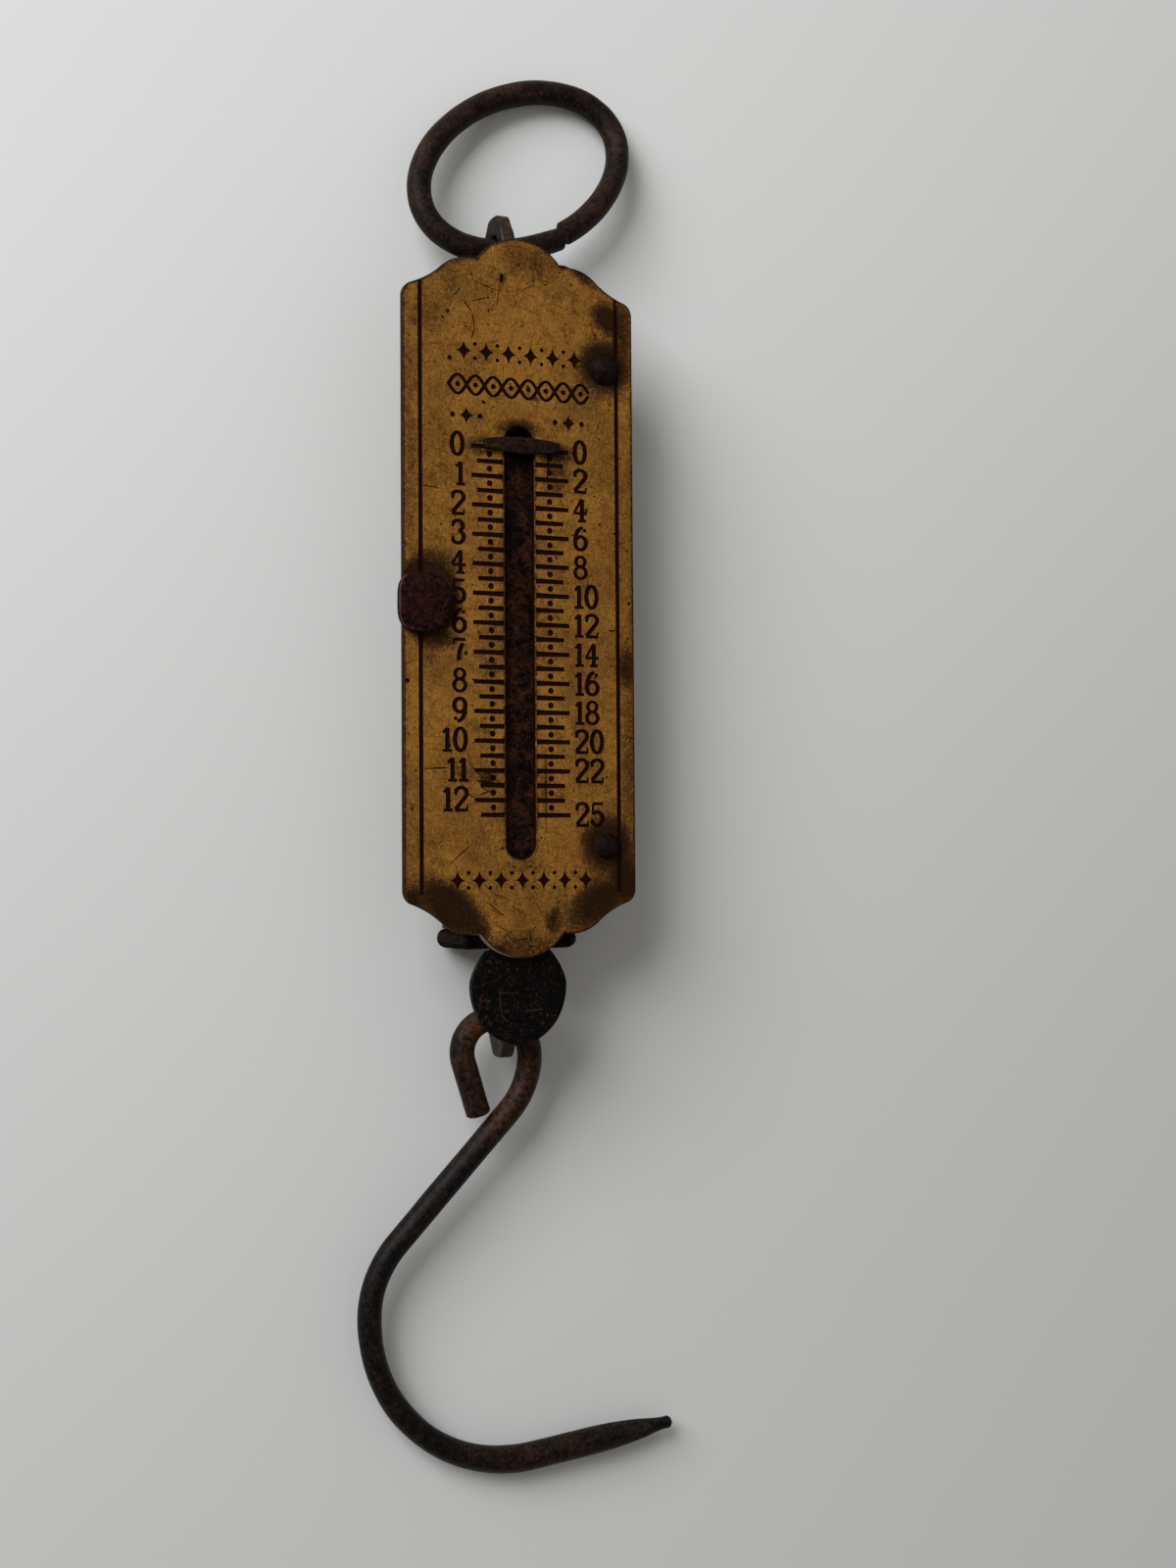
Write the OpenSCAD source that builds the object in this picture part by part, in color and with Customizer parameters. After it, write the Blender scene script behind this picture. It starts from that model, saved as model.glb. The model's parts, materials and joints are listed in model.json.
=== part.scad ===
// Pocket spring balance. A brass face plate is riveted over a slim iron trough. A tension
// spring inside the trough is held by the ring lug at the top and pulled by a flat draw bar,
// which carries the pointer in the slot of the face and the load hook below.
// Millimetres. The back of the case lies on Z = 0, and Y runs from the hook to the ring.

/* [Face plate] */
// From the upper tip of the face plate to the zero mark
head_len = 32.7; // [30:0.1:44]
// From the last mark to the lower tip
foot_len = 21.4; // [19:0.1:30]
// Width of the face plate
plate_w = 37.6; // [34:0.2:46]
// Thickness of the face plate
plate_t = 1.2; // [0.8:0.1:2]
// Radius of the round lobe at each tip
lobe_r = 8.3; // [7.8:0.1:9]
// Distance of the notch beside the lobe from the middle line
notch_x = 6.9; // [6:0.1:7.4]
// Radius of the small scallop outside the notch
scallop_r = 6.6; // [6:0.1:8]
// Distance of the scallop's centre from the middle line
scallop_x = 8.1; // [7.5:0.1:9]
// Distance at which the scallop meets the hollow shoulder
scallop_end = 12.9; // [12:0.1:13.4]
// Radius of the hollow shoulder
shoulder_r = 14; // [10:0.5:30]
// Radius of the corner beside the shoulder
corner_r = 2.2; // [1.5:0.1:3]
// Angle that the corner turns through
corner_turn = 63; // [50:1:75]
// From the tip to the end of the corner
corner_drop = 10.3; // [9.5:0.1:13]

/* [Scale] */
// Number of divisions on the scale
divisions = 25; // [20:1:25]
// Length of one division
division = 2.236; // [1.8:0.001:2.8]
// Width of the slot
slot_w = 5; // [4:0.1:6.4]
// From the zero mark to the upper end of the slot
slot_over = 3.6; // [3:0.1:5]
// From the last mark to the lower end of the slot
slot_under = 6.5; // [5:0.1:8]
// Distance of a long mark's end from the middle line
long_mark_x = 7.95; // [7:0.05:9]
// Distance of a short mark's end from the middle line
short_mark_x = 7.05; // [6:0.05:8]
// Width of a mark
mark_w = 0.4; // [0.25:0.05:0.6]
// Depth of the marks and lines
mark_depth = 0.25; // [0.1:0.05:0.4]
// Distance of the dots between the marks from the middle line
dot_x = 5; // [4:0.1:6]
// Diameter of a dot
dot_d = 0.6; // [0.4:0.1:1]
// Distance of the border line from the edge of the plate
border_in = 2.75; // [2:0.05:4]
// Width of the border line
border_w = 0.45; // [0.3:0.05:0.8]

/* [Case] */
// Outer width of the trough
trough_w = 16.4; // [15:0.2:20]
// Thickness of the trough's sheet
trough_t = 1; // [0.6:0.1:1.2]
// Outer radius of the two back edges
trough_r = 3; // [2:0.1:4]
// Width of each end cap
cap_w = 18.4; // [17:0.2:22]
// Thickness of each end cap
cap_t = 3; // [2:0.1:4]
// Height of the caps above the surface that the case lies on
cap_lift = 0.4; // [0.2:0.1:0.8]
// From the upper tip of the plate to the outer face of the top cap
top_cap_in = 2.6; // [2:0.1:5]
// From the lower tip of the plate to the outer face of the bottom cap
bottom_cap_in = 1.4; // [0.5:0.1:4]
// Thickness of the cheek that each cap has inside the trough
cheek_t = 1.2; // [0.8:0.1:1.4]
// Length of a cheek
cheek_len = 4; // [3:0.1:5]
// Height of a cheek
cheek_h = 4.4; // [3.5:0.1:6]
// Radius of a cap pin
cap_pin_r = 0.8; // [0.5:0.05:1]
// Radius of a cap pin's head
cap_pin_head_r = 1.4; // [1.2:0.05:1.8]
// Height of a cap pin's head
cap_pin_head_h = 0.5; // [0.3:0.1:0.8]

/* [Rivets] */
// Radius of a rivet's shank
rivet_r = 1.4; // [1:0.1:1.6]
// Radius of the two domed heads
dome_r = 2.5; // [2.2:0.1:3]
// Height of the two domed heads
dome_h = 1.5; // [1:0.1:2]
// Distance of the domed rivets from the edge of the plate
dome_in = 4.8; // [4:0.1:6]
// From the upper tip of the plate to the upper rivet
upper_rivet_in = 19; // [15:0.5:24]
// From the lower tip of the plate to the lower rivet
lower_rivet_in = 17; // [14:0.5:20]
// Distance of the side rivet from the edge of the plate
side_in = 3.15; // [2.8:0.05:4]
// Distance of the side rivet above the middle of the plate
side_rivet_y = -1.65; // [-8:0.05:8]
// Radius of the side rivet's flat head
side_head_r = 4.48; // [4:0.02:5]
// Distance of the flat that is cut on that head from its middle
side_flat = 4.27; // [3.5:0.01:4.4]
// Thickness of that head
side_head_h = 2; // [1.2:0.1:2.4]
// Radius of the closed end under the ear
tail_r = 2.2; // [1.8:0.1:2.6]
// Height of the closed end under the ear
tail_h = 0.9; // [0.6:0.1:1.2]
// Distance that an ear reaches past its rivet
ear_past = 2.4; // [2:0.1:3]
// Width of an ear along the case
ear_w = 8; // [6:0.5:12]

/* [Spring] */
// Diameter of the spring wire
spring_wire = 1.4; // [1:0.05:1.7]
// Mean diameter of the coils
spring_mean = 10.3; // [9:0.1:11]
// Smallest gap between two coils
spring_gap = 0.45; // [0.42:0.01:0.8]
// Radius of the bend between a coil and its end loop
loop_bend = 1.2; // [1:0.1:1.6]
// Gap round the coils inside the trough
spring_room = 0.35; // [0.2:0.05:0.8]

/* [Draw bar] */
// Width of the flat bar
bar_w = 9; // [7:0.1:10.5]
// Thickness of the flat bar
bar_t = 1.2; // [0.8:0.1:2]
// Gap between the bar and the face plate
bar_play = 0.3; // [0.2:0.05:0.6]
// Gap between the bar and the coils
bar_over_spring = 0.25; // [0.2:0.05:0.6]
// Travel beyond the last mark, up to the stop
over_travel = 1.3; // [0.5:0.1:2.5]
// Half the width of the oval end
oval_a = 7.73; // [7:0.01:9]
// Half the length of the oval end
oval_b = 9; // [8:0.1:11]
// From the lower tip of the plate to the middle of the oval
oval_out = 4.1; // [3:0.1:6]
// Radius of the pointer stud in the slot
stud_r = 1.5; // [1.2:0.1:1.8]
// Radius of the stud's ends in the bar and in the pointer
stud_end_r = 0.9; // [0.6:0.05:1]
// Length of the pointer
pointer_len = 12.3; // [11:0.1:15]
// Width of the pointer at the middle
pointer_w = 2.5; // [2.4:0.05:3.4]
// Width of the pointer at its ends
pointer_end_w = 1.3; // [0.8:0.1:1.6]
// Thickness of the pointer
pointer_t = 1; // [0.6:0.1:1.6]
// Gap between the pointer and the face
pointer_play = 0.3; // [0.2:0.05:0.6]
// Thickness of the spring foot
foot_t = 1.6; // [1.2:0.1:2.4]
// Length of the spring foot along the case
foot_y_len = 4.4; // [4:0.1:5.4]
// Material below the hole of the spring foot
foot_edge = 0.8; // [0.6:0.1:1]
// Radius of the holes that the spring's loops go through
spring_hole_r = 1.15; // [1:0.05:1.3]

/* [Lugs] */
// Thickness of both lugs
lug_t = 2.4; // [2:0.1:3]
// Radius of the ring's hole
ring_hole_r = 2.4; // [2.3:0.05:2.8]
// Radius of the hook's hole
hook_hole_r = 2.8; // [2.7:0.05:3]
// Outer radius of both lugs round their hole
lug_r = 4.5; // [4:0.1:5]
// Radius of the narrow nose of both lugs
nose_r = 2.4; // [2.1:0.1:2.7]
// From the upper tip of the plate to the ring's hole
ring_hole_out = 0.46; // [0:0.02:2]
// From the ring's hole to the end of the nose
ring_nose = 5.35; // [5:0.05:7]
// From the lower tip of the plate to the hook's hole
hook_hole_out = 9.7; // [9:0.1:12]
// From the hook's hole to the end of the nose
hook_nose = 5.8; // [5.4:0.05:7]
// Height of the ring lug's stem
stem_h = 6; // [5:0.1:7]
// Length of the cross key along the case
key_y_len = 1.3; // [1:0.1:1.6]
// Height of the cross key
key_h = 2.6; // [2:0.1:3]
// Length of the cross key across the case
key_len = 10.4; // [8:0.1:11]
// Size of the hook lug's tenon in the oval, across and along
tenon = [3.6, 4.4]; // [3:0.1:5]
// Distance of that tenon from the hook's hole, towards the case
tenon_in = 2.3; // [1.5:0.1:3]

/* [Ring] */
// Radius of the ring's wire
ring_wire_r = 1.95; // [1.6:0.05:2]
// Half the long diameter of the oval that the ring has been pulled to
ring_a = 19.1; // [17:0.1:23]
// Half the short diameter of that oval
ring_b = 12.1; // [10:0.1:16]
// Angle between the long diameter and the X axis
ring_skew = 33; // [0:1:60]
// Angle on the oval at which the ring hangs in its lug
ring_hang = 231.8; // [228:0.1:236]
// Angle on the oval at which the wire's two ends meet
ring_split = 268.8; // [255:0.1:300]
// Gap between the two ends
ring_slit = 0.5; // [0.3:0.1:2]

/* [Hook] */
// Radius of the hook's wire
hook_wire_r = 1.83; // [1.6:0.01:1.9]
// Radius of the wire at the thicker belly
belly_r = 2.2; // [2:0.05:2.4]
// Direction of the short free end, from the X axis
hook_start = 108.4; // [100:0.1:120]
// Length of the short free end
hook_end_len = 9.24; // [6:0.02:12]
// Radius of the eye on the side of the free end
eye_free_r = 5.07; // [4.6:0.01:6]
// Radius of the eye on the side of the shank
eye_shank_r = 6.1; // [5.6:0.1:7]
// Radius of the bend from the eye into the shank
neck_r = 12.5; // [10:0.5:18]
// Angle of the shank from the Y axis
shank_turn = 42.3; // [30:0.1:48]
// Length of the straight shank
shank_len = 26.3; // [20:0.1:32]
// Radius of the bend from the shank into the back
back_r = 16.2; // [12:0.1:20]
// Radius of the load bend
load_r = 24.2; // [20:0.1:28]
// Angle that the point rises by
point_rise = 7.1; // [0:0.1:20]
// Length of the straight point
point_len = 23.8; // [18:0.1:28]
// Place of the top of the eye from the middle of its hole
eye_top = [-1.54, 0.27]; // [-2:0.01:2]

/* [Fits] */
// Gap round a rivet, pin or tenon in its hole
fit = 0.03; // [0.02:0.01:0.08]
// Gap round the bar in the slot of the bottom cap
bar_gap = 0.2; // [0.1:0.05:0.4]
// Gap between the oval end and the bottom cap at zero
zero_gap = 0.2; // [0.1:0.05:0.5]
// Gap between the spring foot and the bottom cap at the stop
stop_gap = 0.4; // [0.2:0.05:1]
// Gap round the stem of the ring lug in the top cap
stem_gap = 0.1; // [0.05:0.05:0.3]

/* [Hidden] */
$fn = 64;
BRASS = [0.55, 0.41, 0.17];
IRON = [0.22, 0.17, 0.15];
RUST = [0.30, 0.19, 0.14];
MAROON = [0.21, 0.12, 0.13];
// Overlap that makes a cut run past the face that it opens
over = 0.5;

scale_len = divisions * division;
travel = scale_len + over_travel;
plate_len = head_len + scale_len + foot_len;
tip_y = plate_len / 2;
zero_y = tip_y - head_len;
last_y = zero_y - scale_len;

// Heights, stacked from the back of the trough up to the face
coil_r = (spring_mean + spring_wire) / 2;
axis_z = trough_t + spring_room + coil_r;
bar_z = axis_z + coil_r + bar_over_spring;
case_h = bar_z + bar_t + bar_play;
face_z = case_h + plate_t;
pointer_z = face_z + pointer_play;

// Ends of the case
top_face = tip_y - top_cap_in;
top_inner = top_face - cap_t;
bottom_face = -tip_y + bottom_cap_in;
bottom_inner = bottom_face + cap_t;
inner_half = trough_w / 2 - trough_t;
cheek_out = inner_half - fit;

// Places of the rivets on the plate
dome_x = plate_w / 2 - dome_in;
upper_rivet_y = tip_y - upper_rivet_in;
lower_rivet_y = -tip_y + lower_rivet_in;
side_x = side_in - plate_w / 2;
RIVETS = [[dome_x, upper_rivet_y], [dome_x, lower_rivet_y], [side_x, side_rivet_y]];

// Places of the moving pieces at zero
pointer_y = zero_y + pointer_end_w / 2;
bar_end = pointer_y + stud_r;
foot_y = bottom_inner + stop_gap + foot_y_len / 2 + travel;
oval_y = -tip_y - oval_out;
ring_hole_y = tip_y + ring_hole_out;
hook_hole_y = -tip_y - hook_hole_out;

// The stem of the ring lug: the key's slot, then the spring's hole, then the end
key_y = top_inner - key_y_len / 2 - fit;
stem_wall = 0.75;
stem_hole_y = key_y - key_y_len / 2 - fit - stem_wall - spring_hole_r;
stem_end = stem_hole_y - spring_hole_r - stem_wall;

// Helpers for points
function unit(v) = v / norm(v);
function back_to_front(v) = [for (i = [len(v) - 1 : -1 : 0]) v[i]];
function without_first(v) = [for (i = [1 : len(v) - 1]) v[i]];
function angle_of(v) = atan2(v.y, v.x);
function arc(c, r, from, to, steps) =
    [for (i = [0 : steps]) let (a = from + (to - from) * i / steps) c + r * [cos(a), sin(a)]];
function along(v) = [for (i = 0, s = 0; i < len(v);
    s = s + norm(v[min(i + 1, len(v) - 1)] - v[i]), i = i + 1) s];

// Outline of the face plate: one quarter, from the tip to the side, then its mirror images
lobe_c = [0, tip_y - lobe_r];
notch = lobe_c + [notch_x, sqrt(lobe_r ^ 2 - notch_x ^ 2)];
scallop_c = [scallop_x, notch.y - sqrt(scallop_r ^ 2 - (scallop_x - notch_x) ^ 2)];
scallop_stop = acos((scallop_end - scallop_x) / scallop_r);
corner_c = [plate_w / 2 - corner_r, tip_y - corner_drop];
shoulder_from = scallop_c + scallop_r * [cos(scallop_stop), sin(scallop_stop)];
shoulder_to = corner_c + corner_r * [cos(corner_turn), sin(corner_turn)];
shoulder_run = shoulder_to - shoulder_from;
shoulder_rise = sqrt(shoulder_r ^ 2 - (norm(shoulder_run) / 2) ^ 2);
shoulder_c = (shoulder_from + shoulder_to) / 2
    + shoulder_rise * unit([-shoulder_run.y, shoulder_run.x]);
quarter = concat(
    arc(lobe_c, lobe_r, 90, angle_of(notch - lobe_c), 12),
    without_first(arc(scallop_c, scallop_r, angle_of(notch - scallop_c), scallop_stop, 6)),
    without_first(arc(shoulder_c, shoulder_r, angle_of(shoulder_from - shoulder_c),
        angle_of(shoulder_to - shoulder_c), 5)),
    without_first(arc(corner_c, corner_r, corner_turn, 0, 6)));
right_half = concat(quarter, back_to_front([for (p = quarter) [p.x, -p.y]]));
left_half = [for (i = [len(right_half) - 2 : -1 : 1]) [-right_half[i].x, right_half[i].y]];

module plate_outline() {
    polygon(concat(right_half, left_half));
}

// A band across the sheet with half-round ends, from one Y to another
module slot_outline(width, low, high) {
    translate([-width / 2, low + width / 2]) square([width, high - low - width]);
    translate([0, low + width / 2]) circle(d = width);
    translate([0, high - width / 2]) circle(d = width);
}

module mark(side, end_x, y) {
    near = side > 0 ? 0 : -end_x;
    translate([near, y - mark_w / 2]) square([end_x, mark_w]);
}

// Every second mark is long, and on the right the last one instead of the one before it
module scale_marks() {
    for (i = [0 : divisions]) {
        y = zero_y - i * division;
        right_long = i == divisions || (i % 2 == 0 && i < divisions - 1);
        mark(-1, i % 2 == 0 ? long_mark_x : short_mark_x, y);
        mark(1, right_long ? long_mark_x : short_mark_x, y);
    }
    for (i = [0 : divisions - 1], side = [-1, 1]) {
        translate([side * dot_x, zero_y - (i + 0.5) * division]) circle(d = dot_d, $fn = 16);
    }
}

module border_lines() {
    line_x = plate_w / 2 - border_in;
    for (side = [-1, 1]) {
        translate([side * line_x - border_w / 2, -tip_y + corner_drop - 0.6])
            square([border_w, plate_len - 2 * corner_drop + 2.4]);
    }
}

module rivet_holes() {
    for (p = RIVETS) {
        translate(p) circle(r = rivet_r + fit);
    }
}

module face_plate() {
    color(BRASS) translate([0, 0, case_h]) {
        linear_extrude(plate_t - mark_depth) difference() {
            plate_outline();
            slot_outline(slot_w, last_y - slot_under, zero_y + slot_over);
            rivet_holes();
        }
        translate([0, 0, plate_t - mark_depth]) linear_extrude(mark_depth) difference() {
            plate_outline();
            slot_outline(slot_w, last_y - slot_under, zero_y + slot_over);
            rivet_holes();
            scale_marks();
            border_lines();
        }
    }
}

// Section of the case: flat on top, with both lower edges rounded
module case_section(width, low, high, radius) {
    translate([-width / 2, low + radius]) square([width, high - low - radius]);
    translate([-width / 2 + radius, low]) square([width - 2 * radius, high - low]);
    for (side = [-1, 1]) {
        translate([side * (width / 2 - radius), low + radius]) circle(r = radius);
    }
}

// Extrudes a section drawn in X and Z along Y, from one Y to another
module along_case(low, high) {
    translate([0, high, 0]) rotate([90, 0, 0]) linear_extrude(high - low) children();
}

// Extrudes a shape drawn in Y and Z across the case, centred on the middle line
module across_case(width) {
    translate([-width / 2, 0, 0]) rotate([90, 0, 90]) linear_extrude(width) children();
}

module cap_pin_holes(inner, inwards) {
    pin_y = inner + inwards * cheek_len / 2;
    translate([-trough_w / 2 - over, pin_y, axis_z]) rotate([0, 90, 0])
        cylinder(r = cap_pin_r + fit, h = trough_w + 2 * over);
}

module ear(place) {
    side = place.x > 0 ? 1 : -1;
    reach = abs(place.x) + ear_past - inner_half;
    middle = side * (inner_half + reach / 2);
    translate([middle, place.y, case_h - trough_t / 2]) cube([reach, ear_w, trough_t], center = true);
}

module back_trough() {
    color(IRON) difference() {
        union() {
            along_case(bottom_inner, top_inner) difference() {
                case_section(trough_w, 0, case_h, trough_r);
                case_section(2 * inner_half, trough_t, case_h + over, trough_r - trough_t);
            }
            for (p = RIVETS) {
                ear(p);
            }
        }
        for (p = RIVETS) {
            translate([p.x, p.y, case_h - trough_t - over])
                cylinder(r = rivet_r + fit, h = trough_t + 2 * over);
        }
        cap_pin_holes(top_inner, -1);
        cap_pin_holes(bottom_inner, 1);
    }
}

// An end cap with its two cheeks; outwards is 1 for the top and -1 for the bottom
module cap_body(inner, outwards) {
    along_case(min(inner, inner + outwards * cap_t), max(inner, inner + outwards * cap_t))
        case_section(cap_w, cap_lift, case_h, trough_r);
    for (side = [-1, 1]) {
        translate([side * (cheek_out - cheek_t / 2), inner - outwards * cheek_len / 2, axis_z])
            cube([cheek_t, cheek_len, cheek_h], center = true);
    }
}

module top_cap() {
    color(IRON) difference() {
        cap_body(top_inner, 1);
        translate([0, top_inner + cap_t / 2, axis_z])
            cube([lug_t + 2 * stem_gap, cap_t + 2 * over, stem_h + 2 * stem_gap], center = true);
        cap_pin_holes(top_inner, -1);
    }
}

module bottom_cap() {
    opening_h = case_h - bar_z + bar_gap;
    color(IRON) difference() {
        cap_body(bottom_inner, -1);
        translate([-bar_w / 2 - bar_gap, bottom_face - over, bar_z - bar_gap])
            cube([bar_w + 2 * bar_gap, cap_t + 2 * over, opening_h + over]);
        cap_pin_holes(bottom_inner, 1);
    }
}

// A cap with the given radius and height cut from a sphere, flat side down
module dome(radius, height) {
    sphere_r = (radius ^ 2 + height ^ 2) / (2 * height);
    intersection() {
        translate([0, 0, height - sphere_r]) sphere(r = sphere_r);
        cylinder(r = radius + over, h = height + over);
    }
}

module cap_pins(inner, inwards) {
    pin_y = inner + inwards * cheek_len / 2;
    shank = trough_t + fit + cheek_t;
    for (side = [-90, 90]) {
        translate([0, pin_y, axis_z]) rotate([0, side, 0]) {
            translate([0, 0, trough_w / 2 - shank]) cylinder(r = cap_pin_r, h = shank);
            translate([0, 0, trough_w / 2]) dome(cap_pin_head_r, cap_pin_head_h);
        }
    }
}

module top_cap_pins() {
    color(IRON) cap_pins(top_inner, -1);
}

module bottom_cap_pins() {
    color(IRON) cap_pins(bottom_inner, 1);
}

// Shank and closed end of a rivet that holds the plate on an ear
module rivet_shank() {
    stack = plate_t + trough_t;
    translate([0, 0, face_z - stack]) cylinder(r = rivet_r, h = stack);
    translate([0, 0, face_z - stack - tail_h]) cylinder(r = tail_r, h = tail_h);
}

module domed_rivet(place) {
    color(IRON) translate(place) {
        rivet_shank();
        translate([0, 0, face_z]) dome(dome_r, dome_h);
    }
}

module upper_rivet() {
    domed_rivet(RIVETS[0]);
}

module lower_rivet() {
    domed_rivet(RIVETS[1]);
}

module side_rivet() {
    color(MAROON) translate(RIVETS[2]) {
        rivet_shank();
        translate([0, 0, face_z]) linear_extrude(side_head_h) intersection() {
            circle(r = side_head_r);
            translate([-side_flat, -side_head_r]) square([2 * side_head_r, 2 * side_head_r]);
        }
    }
}

// Round eye with a narrower nose, drawn with its hole at the origin and its nose along X
module eye_outline(nose) {
    nose_x = nose - nose_r;
    lean = acos((lug_r - nose_r) / nose_x);
    polygon(concat(
        arc([0, 0], lug_r, lean, 360 - lean, 30),
        arc([nose_x, 0], nose_r, -lean, lean, 10)));
}

module ring_lug() {
    color(IRON) across_case(lug_t) difference() {
        union() {
            intersection() {
                translate([ring_hole_y, axis_z]) eye_outline(ring_nose);
                translate([top_face, axis_z - lug_r]) square([2 * lug_r + ring_nose, 2 * lug_r]);
            }
            translate([stem_end, axis_z - stem_h / 2]) square([top_face - stem_end + over, stem_h]);
        }
        translate([ring_hole_y, axis_z]) circle(r = ring_hole_r);
        translate([stem_hole_y, axis_z]) circle(r = spring_hole_r);
        translate([key_y, axis_z]) square([key_y_len + 2 * fit, key_h + 2 * fit], center = true);
    }
}

module lug_key() {
    color(IRON) translate([0, key_y, axis_z]) cube([key_len, key_y_len, key_h], center = true);
}

// Carries a side direction along a path without twisting it, one direction for each point
function heading(path, i) = unit(path[min(i + 1, len(path) - 1)] - path[max(i - 1, 0)]);
function squared(side, ahead) = unit(side - (side * ahead) * ahead);
function sides_along(path, first) = [for (i = 0, s = squared(first, heading(path, 0));
    i < len(path);
    i = i + 1, s = squared(s, heading(path, min(i, len(path) - 1)))) s];

// A closed tube of flat facets along a path, with one radius for each point
module tube(path, radii, corners, first_side) {
    side = sides_along(path, first_side);
    last = (len(path) - 1) * corners;
    points = [for (i = [0 : len(path) - 1], k = [0 : corners - 1])
        let (up = cross(heading(path, i), side[i]), a = 360 * k / corners)
        path[i] + radii[i] * (side[i] * cos(a) + up * sin(a))];
    wall = [for (i = [0 : len(path) - 2], k = [0 : corners - 1])
        let (a = i * corners + k, b = i * corners + (k + 1) % corners)
        each [[a, a + corners, b + corners], [a, b + corners, b]]];
    first_end = [for (k = [1 : corners - 2]) [0, k, k + 1]];
    last_end = [for (k = [1 : corners - 2]) [last, last + k + 1, last + k]];
    polyhedron(points, concat(wall, first_end, last_end));
}

// The spring: an end loop, a bend, the coils, a bend and an end loop, all one wire. Angles
// run round the Y axis, and both loops lie in the plane of the axis and the X axis.
coil_mean_r = spring_mean / 2;
coil_low = foot_y + foot_y_len / 2 + spring_wire / 2 + 0.6;
coil_high = stem_end - spring_wire / 2 - 0.9;
coil_room = coil_high - coil_low;
turns = floor(coil_room / (spring_wire + spring_gap));
rings_a_turn = 8;
bend_angle = asin(loop_bend / coil_mean_r);
LOOP_STEPS = 12;
LOOP_STOP = 150;
BEND_STEPS = 4;

// Half of the wire's end at the given side of the coils, from the coil outwards
function end_bend(coil_y, out) = [for (i = [1 : BEND_STEPS]) let (a = 90 * i / BEND_STEPS)
    [coil_mean_r, coil_y + out * loop_bend * (1 - cos(a)), axis_z - out * loop_bend * (1 - sin(a))]];
function end_loop(coil_y, out, hole_y) = let (root = coil_y + out * loop_bend)
    [for (i = [1 : LOOP_STEPS]) let (a = LOOP_STOP * i / LOOP_STEPS)
    [coil_mean_r * cos(a), root + (hole_y - root) * sin(a), axis_z]];
coil_angle = 360 * turns - 2 * bend_angle;
coil_steps = turns * rings_a_turn;
coils = [for (i = [0 : coil_steps]) let (a = bend_angle + coil_angle * i / coil_steps)
    [coil_mean_r * cos(a), coil_low + coil_room * i / coil_steps, axis_z + coil_mean_r * sin(a)]];
spring_path = concat(
    back_to_front(concat(end_bend(coil_low, -1), end_loop(coil_low, -1, foot_y))),
    coils,
    end_bend(coil_high, 1),
    end_loop(coil_high, 1, stem_hole_y));
spring_along = along(spring_path);
spring_self_gap = min([for (i = [0 : len(spring_path) - 2], j = [i + 1 : len(spring_path) - 1])
    if (spring_along[j] - spring_along[i] > 4 * spring_wire)
    norm(spring_path[j] - spring_path[i])]) - spring_wire;
echo(turns = turns, spring_self_gap = spring_self_gap);  // spring

module spring() {
    color(IRON) tube(spring_path, [for (p = spring_path) spring_wire / 2], 6, [0, 0, 1]);
}

module spring_foot() {
    low = axis_z - spring_hole_r - foot_edge;
    color(IRON) {
        across_case(foot_t) difference() {
            translate([foot_y - foot_y_len / 2, low]) square([foot_y_len, bar_z - low]);
            translate([foot_y, axis_z]) circle(r = spring_hole_r);
        }
        translate([0, foot_y, bar_z + bar_t / 2])
            cube([foot_t, foot_y_len - 2, bar_t], center = true);
    }
}

// The flat bar with its oval end, and the openings for what is riveted into it
module draw_bar() {
    shoulder = bottom_face - zero_gap;
    color(RUST) translate([0, 0, bar_z]) linear_extrude(bar_t) difference() {
        union() {
            translate([-bar_w / 2, shoulder - over]) square([bar_w, bar_end - shoulder + over]);
            intersection() {
                translate([0, oval_y])
                    polygon([for (i = [0 : 71]) [oval_a * cos(5 * i), oval_b * sin(5 * i)]]);
                translate([-oval_a, shoulder - 2 * oval_b]) square([2 * oval_a, 2 * oval_b]);
            }
        }
        translate([0, pointer_y]) circle(r = stud_end_r + fit);
        translate([0, foot_y]) square([foot_t + 2 * fit, foot_y_len - 2 + 2 * fit], center = true);
        translate([0, hook_hole_y + tenon_in])
            square([tenon.x + 2 * fit, tenon.y + 2 * fit], center = true);
    }
}

module pointer_stud() {
    color(IRON) translate([0, pointer_y, 0]) {
        translate([0, 0, bar_z]) cylinder(r = stud_end_r, h = pointer_z + pointer_t - bar_z);
        translate([0, 0, bar_z + bar_t]) cylinder(r = stud_r, h = pointer_z - bar_z - bar_t);
    }
}

// A bar between two shallow arcs, widest at the middle
module pointer() {
    swell = (pointer_w - pointer_end_w) / 2;
    arc_r = ((pointer_len / 2) ^ 2 + swell ^ 2) / (2 * swell);
    color(RUST) translate([0, pointer_y, pointer_z]) linear_extrude(pointer_t) difference() {
        intersection() {
            translate([0, pointer_w / 2 - arc_r]) circle(r = arc_r, $fn = 256);
            translate([0, arc_r - pointer_w / 2]) circle(r = arc_r, $fn = 256);
            square([pointer_len, pointer_w + over], center = true);
        }
        circle(r = stud_end_r + fit);
    }
}

module hook_lug() {
    color(RUST) {
        across_case(lug_t) difference() {
            union() {
                translate([hook_hole_y, axis_z]) mirror([1, 0]) eye_outline(hook_nose);
                translate([hook_hole_y - lug_r * 0.6, axis_z])
                    square([lug_r * 1.8, bar_z - axis_z]);
            }
            translate([hook_hole_y, axis_z]) circle(r = hook_hole_r);
        }
        translate([0, hook_hole_y + tenon_in, bar_z + bar_t / 2])
            cube([tenon.x, tenon.y, bar_t], center = true);
    }
}

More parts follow.
